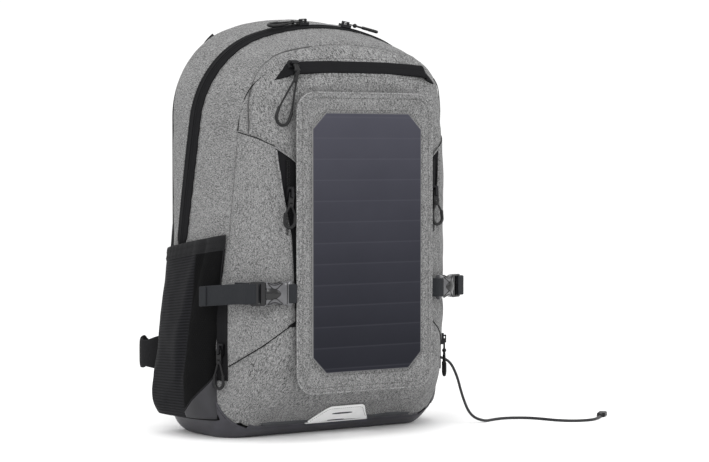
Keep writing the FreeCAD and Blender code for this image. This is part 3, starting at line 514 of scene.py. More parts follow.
def stitches(name, pts, mat, body, slot, normals=None, pitch=3.4, length=2.3, r=0.32, lift=0.12, closed=False):
    """A row of sewn stitches along a line that already lies on the cloth."""
    line = resample(list(pts) + ([pts[0]] if closed else []), pitch)
    verts, faces = [], []
    for i in range(len(line) - 1):
        a, b = line[i], line[i + 1]
        t = (b - a)
        if t.length < 0.3:
            continue
        t.normalize()
        c = (a + b) / 2
        n = normals(c) if normals else Vector((0, -1, 0))
        s = t.cross(n).normalized()
        n = s.cross(t).normalized()
        c = c + n * lift
        k = len(verts)
        for q, w, h in ((-0.5, 0.35, -0.2), (-0.3, 1.0, 0.75), (0.0, 1.1, 1.0), (0.3, 1.0, 0.75), (0.5, 0.35, -0.2)):
            base = c + t * (q * length)
            for u, v in ((-1, 0), (0, 1), (1, 0), (0, -0.6)):
                verts.append(base + s * (u * r * w) + n * (v * r * h))
        for q in range(4):
            for e in range(4):
                a0, b0 = k + q * 4 + e, k + q * 4 + (e + 1) % 4
                faces.append((a0, b0, b0 + 4, a0 + 4))
        faces.append((k, k + 3, k + 2, k + 1))
        faces.append((k + 16, k + 17, k + 18, k + 19))
    o = mesh_object(name, verts, faces, mat, [(v[0], v[2]) for v in verts])
    return done(o, body, slot)

def nz(p, s, seed=0.0):
    return noise.noise(Vector((p[0] / s + seed, p[1] / s - seed * 0.7, p[2] / s + seed * 1.3)))

def sstep(a, b, x):
    t = min(1.0, max(0.0, (x - a) / (b - a)))
    return t * t * (3 - 2 * t)

# ------------------------------------------------------------------ charging cable first
CORD_D = 3.2
F = CORD_D / 2 + 0.05
ROUTE = [(141.3, -43.5, 78), (156, -44, 75), (165, -48.5, 56), (168, -54.5, 32), (175, -60.5, 9.0),
         (190, -67, F), (213, -58, F), (234, -56, F), (253, -67, F), (262, -86, F), (266, -107, F), (279, -124, F), (299, -129, F), (318, -122, F), (334, -108, F)]
cu = bpy.data.curves.new("charging_cable", "CURVE")
cu.dimensions = "3D"
sp = cu.splines.new("NURBS")
sp.points.add(len(ROUTE) - 1)
for q, p in zip(sp.points, ROUTE):
    q.co = (*W(p), 1)
sp.order_u = 3
sp.use_endpoint_u = True
sp.resolution_u = 12
cu.bevel_depth = CORD_D / 2000.0
cu.bevel_resolution = 5
cu.use_fill_caps = True
cu.materials.append(CABLE)
cable = bpy.data.objects.new("charging_cable", cu)
sc.collection.objects.link(cable)
done(cable, "bag_front", "cable", "charging_cord")

# ------------------------------------------------------------------ the bag's form
SECTIONS = [(-90, 95, 74, 30, 391, 34, 80), (-87, 104, 62, 32, 402, 38, 80), (-80, 115, 51, 34, 413, 42, 80), (-68, 126, 39, 36, 429, 54, 78),
            (-50, 137, 24, 38, 443, 82, 74), (-33, 143.5, 8.5, 38, 449.5, 91, 72), (-15, 148.5, -0.5, 36, 455.5, 97, 71), (10, 150.4, -3, 34, 461.5, 101, 70),
            (45, 150.2, -3, 33, 467, 105, 70), (70, 145.5, -2, 31, 468, 105, 70), (82, 138.5, -1, 29, 464, 103, 70), (90, 129, 4, 25, 455, 98, 70)]
SY = [s[0] for s in SECTIONS]
def _slopes():
    n = len(SECTIONS)
    out = []
    for c in range(1, 7):
        v = [s[c] for s in SECTIONS]
        d = [(v[i + 1] - v[i]) / (SY[i + 1] - SY[i]) for i in range(n - 1)]
        m = [d[0]]
        for i in range(1, n - 1):
            h0, h1 = SY[i] - SY[i - 1], SY[i + 1] - SY[i]
            m.append(0.0 if d[i - 1] * d[i] <= 0 else (h0 + h1) / (h1 / d[i - 1] + h0 / d[i]) if False else (d[i - 1] * h1 + d[i] * h0) / (h0 + h1))
        m.append(d[-1])
        out.append(m)
    return out
SM = _slopes()
def sec(y):
    y = min(max(y, SY[0]), SY[-1])
    i = 0
    while i < len(SY) - 2 and SY[i + 1] < y:
        i += 1
    h = SY[i + 1] - SY[i]
    t = (y - SY[i]) / h
    a, b, c, d = 2 * t ** 3 - 3 * t * t + 1, t ** 3 - 2 * t * t + t, -2 * t ** 3 + 3 * t * t, t ** 3 - t * t
    return [a * SECTIONS[i][k + 1] + b * h * SM[k][i] + c * SECTIONS[i + 1][k + 1] + d * h * SM[k][i + 1] for k in range(6)]
def outline(y):
    a, zb, rb, top, rc, th = sec(y)
    th = math.radians(th)
    c, t = math.cos(th), math.tan(th)
    zs = top - rc - (a - rc) * (1 / c - t)
    R2 = rc + (a - rc) / c
    return a, zb, rb, zs, rc, th, R2, zs - (a - rc) * t, [a - rb, rb * math.pi / 2, zs - zb - rb, rc * th, R2 * (math.pi / 2 - th)]
def surf(y, f):
    """Point on the bag's form: f runs round the outline from the middle of the bottom by +X."""
    f = f % 1.0
    side = 1.0
    if f > 0.5:
        f, side = 1.0 - f, -1.0
    a, zb, rb, zs, rc, th, R2, cz2, L = outline(y)
    d = 2 * f * sum(L)
    if d <= L[0]:
        x, z = d, zb
    elif d <= L[0] + L[1]:
        q = (d - L[0]) / rb
        x, z = a - rb + rb * math.sin(q), zb + rb - rb * math.cos(q)
    elif d <= L[0] + L[1] + L[2]:
        x, z = a, zb + rb + d - L[0] - L[1]
    elif d <= sum(L[:4]):
        q = (d - sum(L[:3])) / rc
        x, z = a - rc + rc * math.cos(q), zs + rc * math.sin(q)
    else:
        q = th + (d - sum(L[:4])) / R2
        x, z = R2 * math.cos(q), cz2 + R2 * math.sin(q)
    return Vector((x * side, min(max(y, -90), 90), max(z, 0.0)))
def nrm(y, f):
    e, h = 0.8, 0.0012
    y = min(max(y, -89.2), 89.2)
    du = surf(y + e, f) - surf(y - e, f)
    dv = surf(y, f + h) - surf(y, f - h)
    n = du.cross(dv)
    if n.length < 1e-6:
        n = Vector((0, 0, -1))
    n.normalize()
    p = surf(y, f)
    if n.dot(p - Vector((0, 15, 225))) < 0:
        n = -n
    return n
def plane_y(z):
    return 25.0 - 0.22 * (z - 300.0)
KP = math.sqrt(1 + 0.22 ** 2)
def f_at_z(y, z):
    """Smallest f whose point is at height z or more."""
    lo, hi = 0.0, 0.42
    if surf(y, 0.0).z >= z:
        return 0.0
    for _ in range(30):
        m = (lo + hi) / 2
        if surf(y, m).z >= z:
            hi = m
        else:
            lo = m
    return hi
def y_cut(f, dist=0.0):
    """y where the column f meets the main zip's plane, dist mm in front of it (negative) or behind."""
    y = 40.0
    for _ in range(12):
        y = plane_y(surf(y, f).z) + dist * KP
        y = min(y, 90.0)
    return y
def boot_top(y):
    if y < -36:
        return 13.0
    if y < -26:
        return 13 + (y + 36) / 10 * 25
    if y < -10:
        return 38 + (y + 26) / 16 * 18
    return 56.0
Y13 = -38.3

def wrinkle(p):
    """Slack valleys at the shoulders of the front and above the base."""
    y = 1 - sstep(-66, -48, p.y)
    a = sstep(58, 86, abs(p.x)) * sstep(337, 350, p.z) * (1 - sstep(380, 396, p.z)) * y
    b = sstep(34, 46, p.z) * (1 - sstep(60, 76, p.z)) * (1 - sstep(84, 108, abs(p.x))) * y
    if a + b < 0.01:
        return 0.0
    q = Vector((p.x * 0.8 + p.z * 0.35, p.y, p.z * 0.55 - p.x * 0.2))
    r = (1 - abs(nz(q, 26, 91))) ** 2.0
    return -1.9 * (a + 0.6 * b) * (1 - r)

def cloth_disp(p, amp=1.0, seed=0.0):
    return wrinkle(p) + amp * (1.3 * nz(p, 62, seed) + 0.7 * nz(p, 24, seed + 5) + 0.22 * nz(p, 9, seed + 9))

# the whole outer form as one dense skin, to lay other pieces on
def form_bvh():
    ys = list(np.linspace(-90, 90, 91))
    fs = [k / 420 for k in range(420)]
    V_, F_ = [], []
    for y in ys:
        for f in fs:
            V_.append(surf(y, f))
    m = len(fs)
    for i in range(len(ys) - 1):
        for j in range(m):
            F_.append((i * m + j, i * m + (j + 1) % m, (i + 1) * m + (j + 1) % m, (i + 1) * m + j))
    F_.append(tuple(range(m)))
    F_.append(tuple((len(ys) - 1) * m + k for k in range(m))[::-1])
    return BVHTree.FromPolygons(V_, F_)
FORM = form_bvh()
def onform(p, d, off=0.0):
    """Where a ray from p along d meets the form, moved off mm outwards; and the outward normal."""
    d = Vector(d).normalized()
    hit, n, _, _ = FORM.ray_cast(Vector(p), d)
    if hit is None:
        return None, None
    if n.dot(d) > 0:
        n = -n
    return hit + n * off, n
def nearest(p, off=0.0):
    hit, n, _, _ = FORM.find_nearest(Vector(p))
    c = Vector((0, 15, 225))
    if n.dot(hit - c) < 0:
        n = -n
    return hit + n * off, n
def diag(u, z, off=0.0, side=-1):
    """A point given as (across, up) in the diagonal view of the front left corner, laid on the form. side=1 mirrors it to the right."""
    p = RIGHT * u - INTO * 260 + Vector((0, 0, z))
    hit, n = onform(p, INTO, off)
    if hit is None:
        return None, None
    if side > 0:
        hit, n = Vector((-hit.x, hit.y, hit.z)), Vector((-n.x, n.y, n.z))
    return hit, n

# ------------------------------------------------------------------ floor and light
floor_me = bpy.data.meshes.new("floor")
floor_me.from_pydata([(-20, -20, 0), (20, -20, 0), (20, 30, 0), (-20, 30, 0)], [], [(0, 1, 2, 3)])
floor = bpy.data.objects.new("floor", floor_me)
sc.collection.objects.link(floor)
gf = G("studio_floor")
gf.color((0.97, 0.97, 0.97))
gf.set(Roughness=0.9, Specular_IOR_Level=0.1)
floor_me.materials.append(gf.m)
world = bpy.data.worlds.new("studio")
sc.world = world
world.use_nodes = True
world.node_tree.nodes["Background"].inputs[0].default_value = (1, 1, 1, 1)
world.node_tree.nodes["Background"].inputs[1].default_value = 1.06
def area(name, loc, target, size, power, col=(1, 1, 1)):
    d = bpy.data.lights.new(name, "AREA")
    d.shape = "RECTANGLE"
    d.size, d.size_y = size
    d.energy = power
    d.color = col
    o = bpy.data.objects.new(name, d)
    sc.collection.objects.link(o)
    o.location = loc
    o.rotation_euler = (Vector(target) - Vector(loc)).to_track_quat("-Z", "Y").to_euler()
    return o
area("key", (-1.9, -1.6, 1.7), (0, 0, 0.22), (1.3, 1.3), 30)
area("fill", (1.4, -2.2, 1.2), (0, 0, 0.22), (1.2, 1.2), 10)
area("top", (0.0, -0.2, 2.4), (0, 0, 0.2), (1.6, 1.6), 14)

# ------------------------------------------------------------------ body cloth
NF = 300
def loop_fs(a=0.0, b=1.0, n=NF):
    return [a + (b - a) * k / n for k in range(n + 1)]
def uv_rows(P, fs, length=1560.0):
    out = []
    m = len(P[0])
    v = [0.0] * m
    for i, row in enumerate(P):
        if i:
            mid = m // 4
            step = (row[mid] - P[i - 1][mid]).length
            v = [q + step for q in v]
        out.append([(fs[j] * length, v[j]) for j in range(m)])
    return out

def crease(d, w, depth):
    """Sewn-in groove: depth at the seam, gone w mm away."""
    return -depth * (1 - sstep(0, w, abs(d)))

def body_panel(name, rows, fs, mat, body, slot, replaces, disp, thick=1.4, zmin=None):
    P = []
    for g in rows:
        row = []
        for f in fs:
            y = g(f)
            p, n = surf(y, f), nrm(y, f)
            q = p + n * disp(p, n, y, f)
            if zmin is not None:
                q.z = max(q.z, zmin)
            row.append(q)
        P.append(row)
    o = grid(name, P, mat, uv_rows(P, fs))
    tidy(o)
    solidify(o, thick)
    return done(o, body, slot, *replaces), P

# front panel: from the seam round the front edge and across the flat front
SEAM_Y = -62.0
fs = loop_fs()
ys = [-62, -63.2, -65, -67, -69, -71.5, -74, -76.5, -79, -81, -83, -84.7, -86.2, -87.5, -88.6, -89.4, -90]
def disp_front(p, n, y, f):
    d = cloth_disp(p, 0.95, 11.0)
    return min(1.5, d) + crease(y - SEAM_Y, 3.2, 1.4) * sstep(330, 344, p.z)
P = [[None] * len(fs) for _ in ys]
for i, y in enumerate(ys):
    for j, f in enumerate(fs):
        p, n = surf(y, f), nrm(y, f)
        P[i][j] = p + n * disp_front(p, n, y, f)
edge = [surf(-90, f) for f in fs]
for k, sca in enumerate((0.985, 0.96, 0.92, 0.87, 0.81, 0.74, 0.66, 0.57, 0.47, 0.36, 0.25, 0.14, 0.04)):
    row = []
    for q in edge:
        c = Vector((0, -90, 232.5 + (q.z - 232.5) * 0.35))
        w = c.lerp(q, sca)
        low = 1 - sstep(50, 140, w.z)
        row.append(Vector((w.x, -90.2 - 0.5 * cloth_disp(w, 1.0, 2.0) - 0.6 * (1 - sca) + 0.0 * low, w.z)))
    P.append(row)
UVp = [[(q.x + 400, q.z) if i > 9 else (q.x + 400 + (q.x / 120) * (ys[9] - ys[min(i, 9)]) * 0, q.z) for q in row] for i, row in enumerate(P)]
# cloth on the front is cut flat: its weave stays level, and turns over the edge by arc length
Lr = [0.0]
for i in range(1, len(ys)):
    Lr.append(Lr[-1] + (P[i][NF // 4] - P[i - 1][NF // 4]).length)
UVp = []
for i, row in enumerate(P):
    r = []
    for j, q in enumerate(row):
        if i < len(ys):
            e, nn = edge[j], nrm(-75, fs[j])
            s = Lr[len(ys) - 1] - Lr[i]
            r.append((e.x + nn.x * s + 500, e.z + nn.z * s))
        else:
            r.append((q.x + 500, q.z))
    UVp.append(r)
o = grid("front_panel_cloth", P, GREY_SIDE, UVp)
tidy(o)
solidify(o, 1.4)
done(o, "bag_front", "woven_grey", "front_panel")

# front gusset: from the seam back to the main zip, above the coated base
def fclamp(y, f):
    if y <= Y13:
        return f
    f0 = F0.get(round(y, 1))
    if f0 is None:
        f0 = F0[round(y, 1)] = f_at_z(y, boot_top(y) - 1.0)
    return min(max(f, f0), 1 - f0)
F0 = {}
def gusset_rows():
    out = []
    for y in (-62, -60.8, -59, -56.5, -53.5, -50, -46.5, -43, -40.3, Y13):
        out.append(lambda f, y=y: y)
    for k in range(1, 27):
        t = k / 26.0
        out.append(lambda f, t=t: Y13 + (YEND[f] - Y13) * t)
    return out
YEND = {}
for f in fs:
    YEND[f] = y_cut(f, -0.35)
def disp_gusset(p, n, y, f):
    d = cloth_disp(p, 0.95, 11.0)
    # the cloth lies flat under the patch and the wing seams
    q = (plane_y(p.z) - y) / KP
    # soft puckers fade away from the seam and from the zip's stitching
    seam = (1 - sstep(0, 16, y - SEAM_Y)) * sstep(0, 3, y - SEAM_Y) * sstep(330, 344, p.z)
    d += 0.35 * math.sin((f * 1560) * 0.42 + 2.2 * nz(p, 34)) * seam
    if p.z > 205:
        zipn = 1 - sstep(9, 26, q)
        d = d * (1 - zipn) + 0.3 * math.sin(f * 1560 * 0.34 + 2.5 * nz(p, 40)) * zipn * sstep(8, 12, q)
    return min(d, 1.5) + crease(y - SEAM_Y, 3.2, 1.4) * sstep(330, 344, p.z)
rows = gusset_rows()
P, UVp, CL = [], [], []
v = 0.0
prev = None
for i, g in enumerate(rows):
    row, uvr, cl = [], [], []
    for j, f in enumerate(fs):
        y = g(f)
        ff = fclamp(y, f)
        p, n = surf(y, ff), nrm(y, ff)
        row.append(p + n * disp_gusset(p, n, y, ff))
        cl.append(abs(ff - f) > 1e-9)
        uvr.append((ff * 1560.0, y + 0.0))
    P.append(row); UVp.append(uvr); CL.append(cl)
nine = 9
def skip_gusset(i, j):
    c = (CL[i][j], CL[i][j + 1], CL[i + 1][j], CL[i + 1][j + 1])
    if all(c):
        return True
    return i == nine and c[2] and c[3]
o = grid("front_gusset_cloth", P, GREY_SIDE, UVp, skip=skip_gusset)
tidy(o)
solidify(o, 1.4)
done(o, "bag_front", "woven_grey", "front_gusset")
# painted shadow: a grey line sunk in the crease along the front seam stands in for the shade in that crease
SEAMLINE = [surf(SEAM_Y, f) - nrm(SEAM_Y, f) * 0.75 for f in fs if surf(SEAM_Y, f).z > 334 and surf(SEAM_Y, f).x < -46]
o = tube("front_seam_painted_shade", SEAMLINE, 0.5, SEAM_SHADE_GREY, 6)
done(o, "bag_front", "seam_thread" if False else "zip_tape")

# coated base
ysb = [-40.2, -39.6, -38.6, -37.5, -36.2, -34.5, -32.5, -30, -27, -24, -20.5, -17, -13, -9, -4, 2, 8, 15, 22, 30, 38, 46, 54, 62, 69, 75, 80, 83.5, 86, 88, 89.2, 90]
def yrear_limit(f):
    return y_cut(f, -0.35)
P, UVp = [], []
nb = 150
for y in ysb:
    f0 = f_at_z(y, boot_top(y))
    yy = max(y, -39.3)
    if y <= Y13 + 1:
        f0 = f_at_z(-36.2, 13.0)
    row, uvr = [], []
    for k in range(nb + 1):
        f = -f0 + 2 * f0 * k / nb
        y2 = min(y, y_cut(f % 1.0, -0.35)) if y > 60 else y
        p, n = surf(y2, f), nrm(y2, f)
        e = min(1.0, abs(abs(f) - f0) * 1560 / 2.5)
        d = 0.75 + 0.45 * sstep(0, 1, e) if y > Y13 + 1 else 0.5
        d += 0.7 * nz(p, 40, 31) * sstep(4, 20, p.z) + 0.25 * nz(p, 15, 37) * sstep(4, 20, p.z)
        q = p + n * d
        q.z = max(q.z, 0.02 if p.z < 0.6 else 0.02)
        if p.z < 0.6:
            q = Vector((p.x, p.y, 0.02))
        row.append(q)
        uvr.append((f * 1560.0 + 600, y2))
    P.append(row); UVp.append(uvr)
o = grid("base_boot_cloth", P, COATED, UVp)
tidy(o)
solidify(o, 0.9)
done(o, "bag_front", "coated_base", "base_boot")
# rolled edge where the grey cloth is sewn into the base, and its stitching
for side in (1, -1):
    pts, nor = [], []
    for y in np.linspace(-36.0, 76, 80):
        f0 = f_at_z(y, boot_top(y))
        ff = f0 if side > 0 else 1 - f0
        if y > y_cut(ff, -0.5):
            break
        pts.append(surf(y, ff) + nrm(y, ff) * 0.95)
    nm = "right" if side > 0 else "left"
    done(tube("base_edge_" + nm, pts, 0.85, COATED, 8), "bag_front", "coated_base")
    pts2 = []
    for y in np.linspace(-30.0, 74, 80):
        f0 = f_at_z(y, boot_top(y) - 4.0)
        ff = f0 if side > 0 else 1 - f0
        pts2.append(surf(y, ff) + nrm(y, ff) * 1.35)
    stitches("base_stitch_" + nm, pts2, THREAD_D, "bag_front", "zip_tape", lambda c: nearest(c)[1])
pts = [surf(-38.9, f_at_z(-36.2, 13.0) * k) + Vector((0, -0.5, 0.4)) for k in np.linspace(-1, 1, 60)]
done(tube("base_edge_front", pts, 0.9, COATED, 8), "bag_front", "coated_base")

# rear gusset between the main zip and the back panel
fA = 0.0
for k in range(2000):
    f = 0.02 + k * 0.0001
    if y_cut(f, 0.35) <= 81.9:
        fA = f
        break
fr = loop_fs(fA, 1 - fA, 260)
def disp_rear(p, n, y, f):
    d = cloth_disp(p, 0.8, 23.0)
    q = (y - plane_y(p.z)) / KP
    if p.z > 205:
        zipn = 1 - sstep(9, 22, q)
        d *= (1 - zipn)
    return d + crease(82.0 - y, 3.0, 1.2)
YR = {f: y_cut(f, 0.35) for f in fr}
rows = [(lambda f, t=t: YR[f] + (82.0 - YR[f]) * t) for t in [0, 0.03, 0.07, 0.12, 0.18, 0.25, 0.33, 0.41, 0.5, 0.58, 0.66, 0.74, 0.81, 0.87, 0.92, 0.96, 0.985, 1.0]]
o, _ = body_panel("rear_gusset_cloth", rows, fr, GREY_SIDE, "bag_rear", "woven_grey", ("rear_gusset",), disp_rear)

# back panel
P, UVp = [], []
fb = loop_fs(0, 1, 240)
for t in (0, 0.12, 0.3, 0.5, 0.7, 0.85, 0.95, 1.0):
    row, uvr = [], []
    for f in fb:
        y0 = max(82.0, y_cut(f, 0.35))
        y = y0 + (90 - y0) * t
        p, n = surf(y, f), nrm(y, f)
        q = p + n * (0.4 + cloth_disp(p, 0.5, 5.0) * 0.6 + crease(y - 82, 3.0, 1.2))
        q.z = max(q.z, 14.4)
        row.append(q); uvr.append((q.x + 500, q.z))
    P.append(row); UVp.append(uvr)
last = P[-1]
for sca in (0.985, 0.95, 0.9, 0.83, 0.74, 0.64, 0.52, 0.4, 0.27, 0.14, 0.04, 0.0):
    row, uvr = [], []
    for q in last:
        c = Vector((0, 90, 232.5 + (q.z - 232.5) * 0.4))
        w = c.lerp(q, sca)
        w.y = 90.1 + 0.5 * cloth_disp(w, 1.0, 7.0)
        row.append(w); uvr.append((w.x + 500, w.z))
    P.append(row); UVp.append(uvr)
o = grid("back_panel_cloth", P, [dark_cloth("back_cloth", srgb(58, 59, 62), 0.9, 0.85, 0.4)], UVp, flip=True)
tidy(o)
solidify(o, 1.2)
done(o, "bag_rear", "back_mesh", "back_panel")
done(tube("back_seam_cord", [surf(82.0, f) + nrm(82.0, f) * 0.3 for f in fr], 1.3, BINDING, 8), "bag_rear", "webbing")

# ------------------------------------------------------------------ main zip: a tape each side of the opening
f207 = next(f for f in (0.05 + k * 0.0002 for k in range(2000)) if surf(y_cut(f), f).z >= 207.0)
fz = loop_fs(f207, 1 - f207, 300)
def zip_tape(name, sign, body, node, lo=0.25):
    # (distance from the opening, height over the shell)
    prof = [(10.9, -0.4), (10.7, 0.9), (10.3, 1.35), (8.6, 1.5), (8.2, 1.25), (7.8, 1.5), (5.6, 1.55), (3.6, 1.6), (3.2, 1.95), (2.2, 2.35), (1.0, 2.3), (0.5, 2.0), (lo, 1.2), (lo, -0.6)]
    rows, uv = [], []
    v = 0.0
    for i, f in enumerate(fz):
        z = surf(y_cut(f), f).z
        taper = sstep(207, 222, z)
        row, uvr = [], []
        for q, h in prof:
            qq = q * (0.55 + 0.45 * taper) if q > 1 else q
            y = y_cut(f, sign * qq)
            p, n = surf(y, f), nrm(y, f)
            row.append(p + n * (h + 0.12 * nz(p, 30, 3)))
            uvr.append((f * 1560, q * sign + 50))
        rows.append(row); uv.append(uvr)
    o = grid(name, rows, TAPE, uv, flip=sign > 0)
    return done(o, body, "zip_tape", node)
zip_tape("main_zip_tape_front_cloth", -1, "bag_front", "main_zip_tape_front")
zip_tape("main_zip_tape_rear_cloth", 1, "bag_rear", "main_zip_tape_rear")
# stitching beside the tapes
for sign, body, nm in ((-1, "bag_front", "front"), (1, "bag_rear", "rear")):
    pts = []
    for f in fz:
        y = y_cut(f, sign * 12.6)
        pts.append(surf(y, f) + nrm(y, f) * 0.25)
    stitches("main_zip_stitch_" + nm, pts, THREAD, body, "woven_grey", lambda c: nearest(c)[1], pitch=3.6, length=2.4, r=0.3)
# coil teeth, bare between the two sliders
TEETH = plastic("coil_teeth", srgb(138, 138, 140), 0.3, 0.05, metallic=0.5)
for sign, body, nm in ((-1, "bag_front", "front"), (1, "bag_rear", "rear")):
    verts, faces = [], []
    for f in np.arange(0.478, 0.5182, 0.00118):
        y = y_cut(f, sign * 1.1)
        p, n = surf(y, f), nrm(y, f)
        t = (surf(y, f + 0.001) - p).normalized()
        s = n.cross(t)
        k = len(verts)
        for a in (-1, 1):
            for b in (-1.35, 1.35):
                for c in (1.6, 2.95):
                    verts.append(p + t * (a * 0.48) + s * (b * (1.0 if c < 2 else 0.7)) + n * c)
        for q in ((0, 1, 3, 2), (4, 6, 7, 5), (0, 4, 5, 1), (2, 3, 7, 6), (1, 5, 7, 3), (0, 2, 6, 4)):
            faces.append(tuple(k + e for e in q))
    done(mesh_object("main_zip_coil_" + nm, verts, faces, TEETH, smooth=False), body, "slider_metal")

# ------------------------------------------------------------------ front pocket zip band
BN_ = Vector((0, -0.85, 0.5268))
BD_ = Vector((0, 0.5268, 0.85))
BQ = Vector((0, -83.9, 408.6))
def band_pt(x, d, off):
    """On the band's plane in the middle, on the form at its pointed ends."""
    d -= 5.5 * max(0.0, (abs(x) - 20) / 92.0) ** 2
    p = BQ + BD_ * d + BN_ * off
    p.x = x
    t = sstep(88, 99, abs(x))
    if t > 0:
        q, n = nearest(p, off + 0.9)
        p = p.lerp(q, t)
    return p
rows, uv = [], []
xs = list(np.linspace(-112.5, 112.5, 151))
wprof = [(-1.0, -2.2), (-0.985, -0.2), (-0.95, 0.1), (-0.62, 0.15), (-0.16, 0.16), (-0.03, 0.12), (0.0, 0.02), (0.03, 0.12), (0.16, 0.16), (0.62, 0.15), (0.95, 0.1), (0.985, -0.2), (1.0, -2.2)]
for x in xs:
    top = 7.6 if abs(x) <= 93 else 7.6 - 14.9 * (abs(x) - 93) / 19.5
    bot = -7.6
    mid, half = (top + bot) / 2, (top - bot) / 2
    row, uvr = [], []
    for w, h in wprof:
        d = mid + half * w
        row.append(band_pt(x, d, h + 0.05))
        uvr.append((x + 200, d + 50))
    rows.append(row); uv.append(uvr)
o = grid("front_zip_band", rows, TAPE, uv)
solidify(o, 0.8, -1.0)
done(o, "bag_front", "zip_tape", "front_zip_tape")
# stitch rows above and below the band
for nm, d0 in (("upper", 8.6), ("lower", -8.6)):
    pts = []
    for x in np.linspace(-108, 108, 120):
        p = BQ + BD_ * (d0 + (3.6 if d0 > 0 else -3.6) - 5.5 * max(0.0, (abs(x) - 20) / 92.0) ** 2) + BN_ * 3
        p.x = x
        pts.append(nearest(p, 0.35)[0])
    stitches("front_zip_stitch_" + nm, pts, THREAD, "bag_front", "woven_grey", lambda c: nearest(c)[1], pitch=3.6, r=0.3)

# ------------------------------------------------------------------ thin seams drawn by the sewing
def seam_on_form(name, pts_uz, side=-1, r=0.55, off=0.15, n=10):
    line = []
    for u, z in [(q.x, q.y) for q in resample(smooth_line([(a, b, 0) for a, b in pts_uz], 6), 3.0)]:
        p, nn = diag(u, z, off, side)
        if p is not None:
            line.append(p)
    if len(line) > 2:
        done(tube(name, line, r, SEAM, 6), "bag_front", "zip_tape")
    return line
arc2 = [(-54.5, 398.5), (-64, 391), (-72, 382), (-77, 372), (-79.5, 363), (-83, 350), (-84.5, 338)]
for side, nm in ((-1, "left"), (1, "right")):
    seam_on_form("shoulder_seam_" + nm, arc2, side)

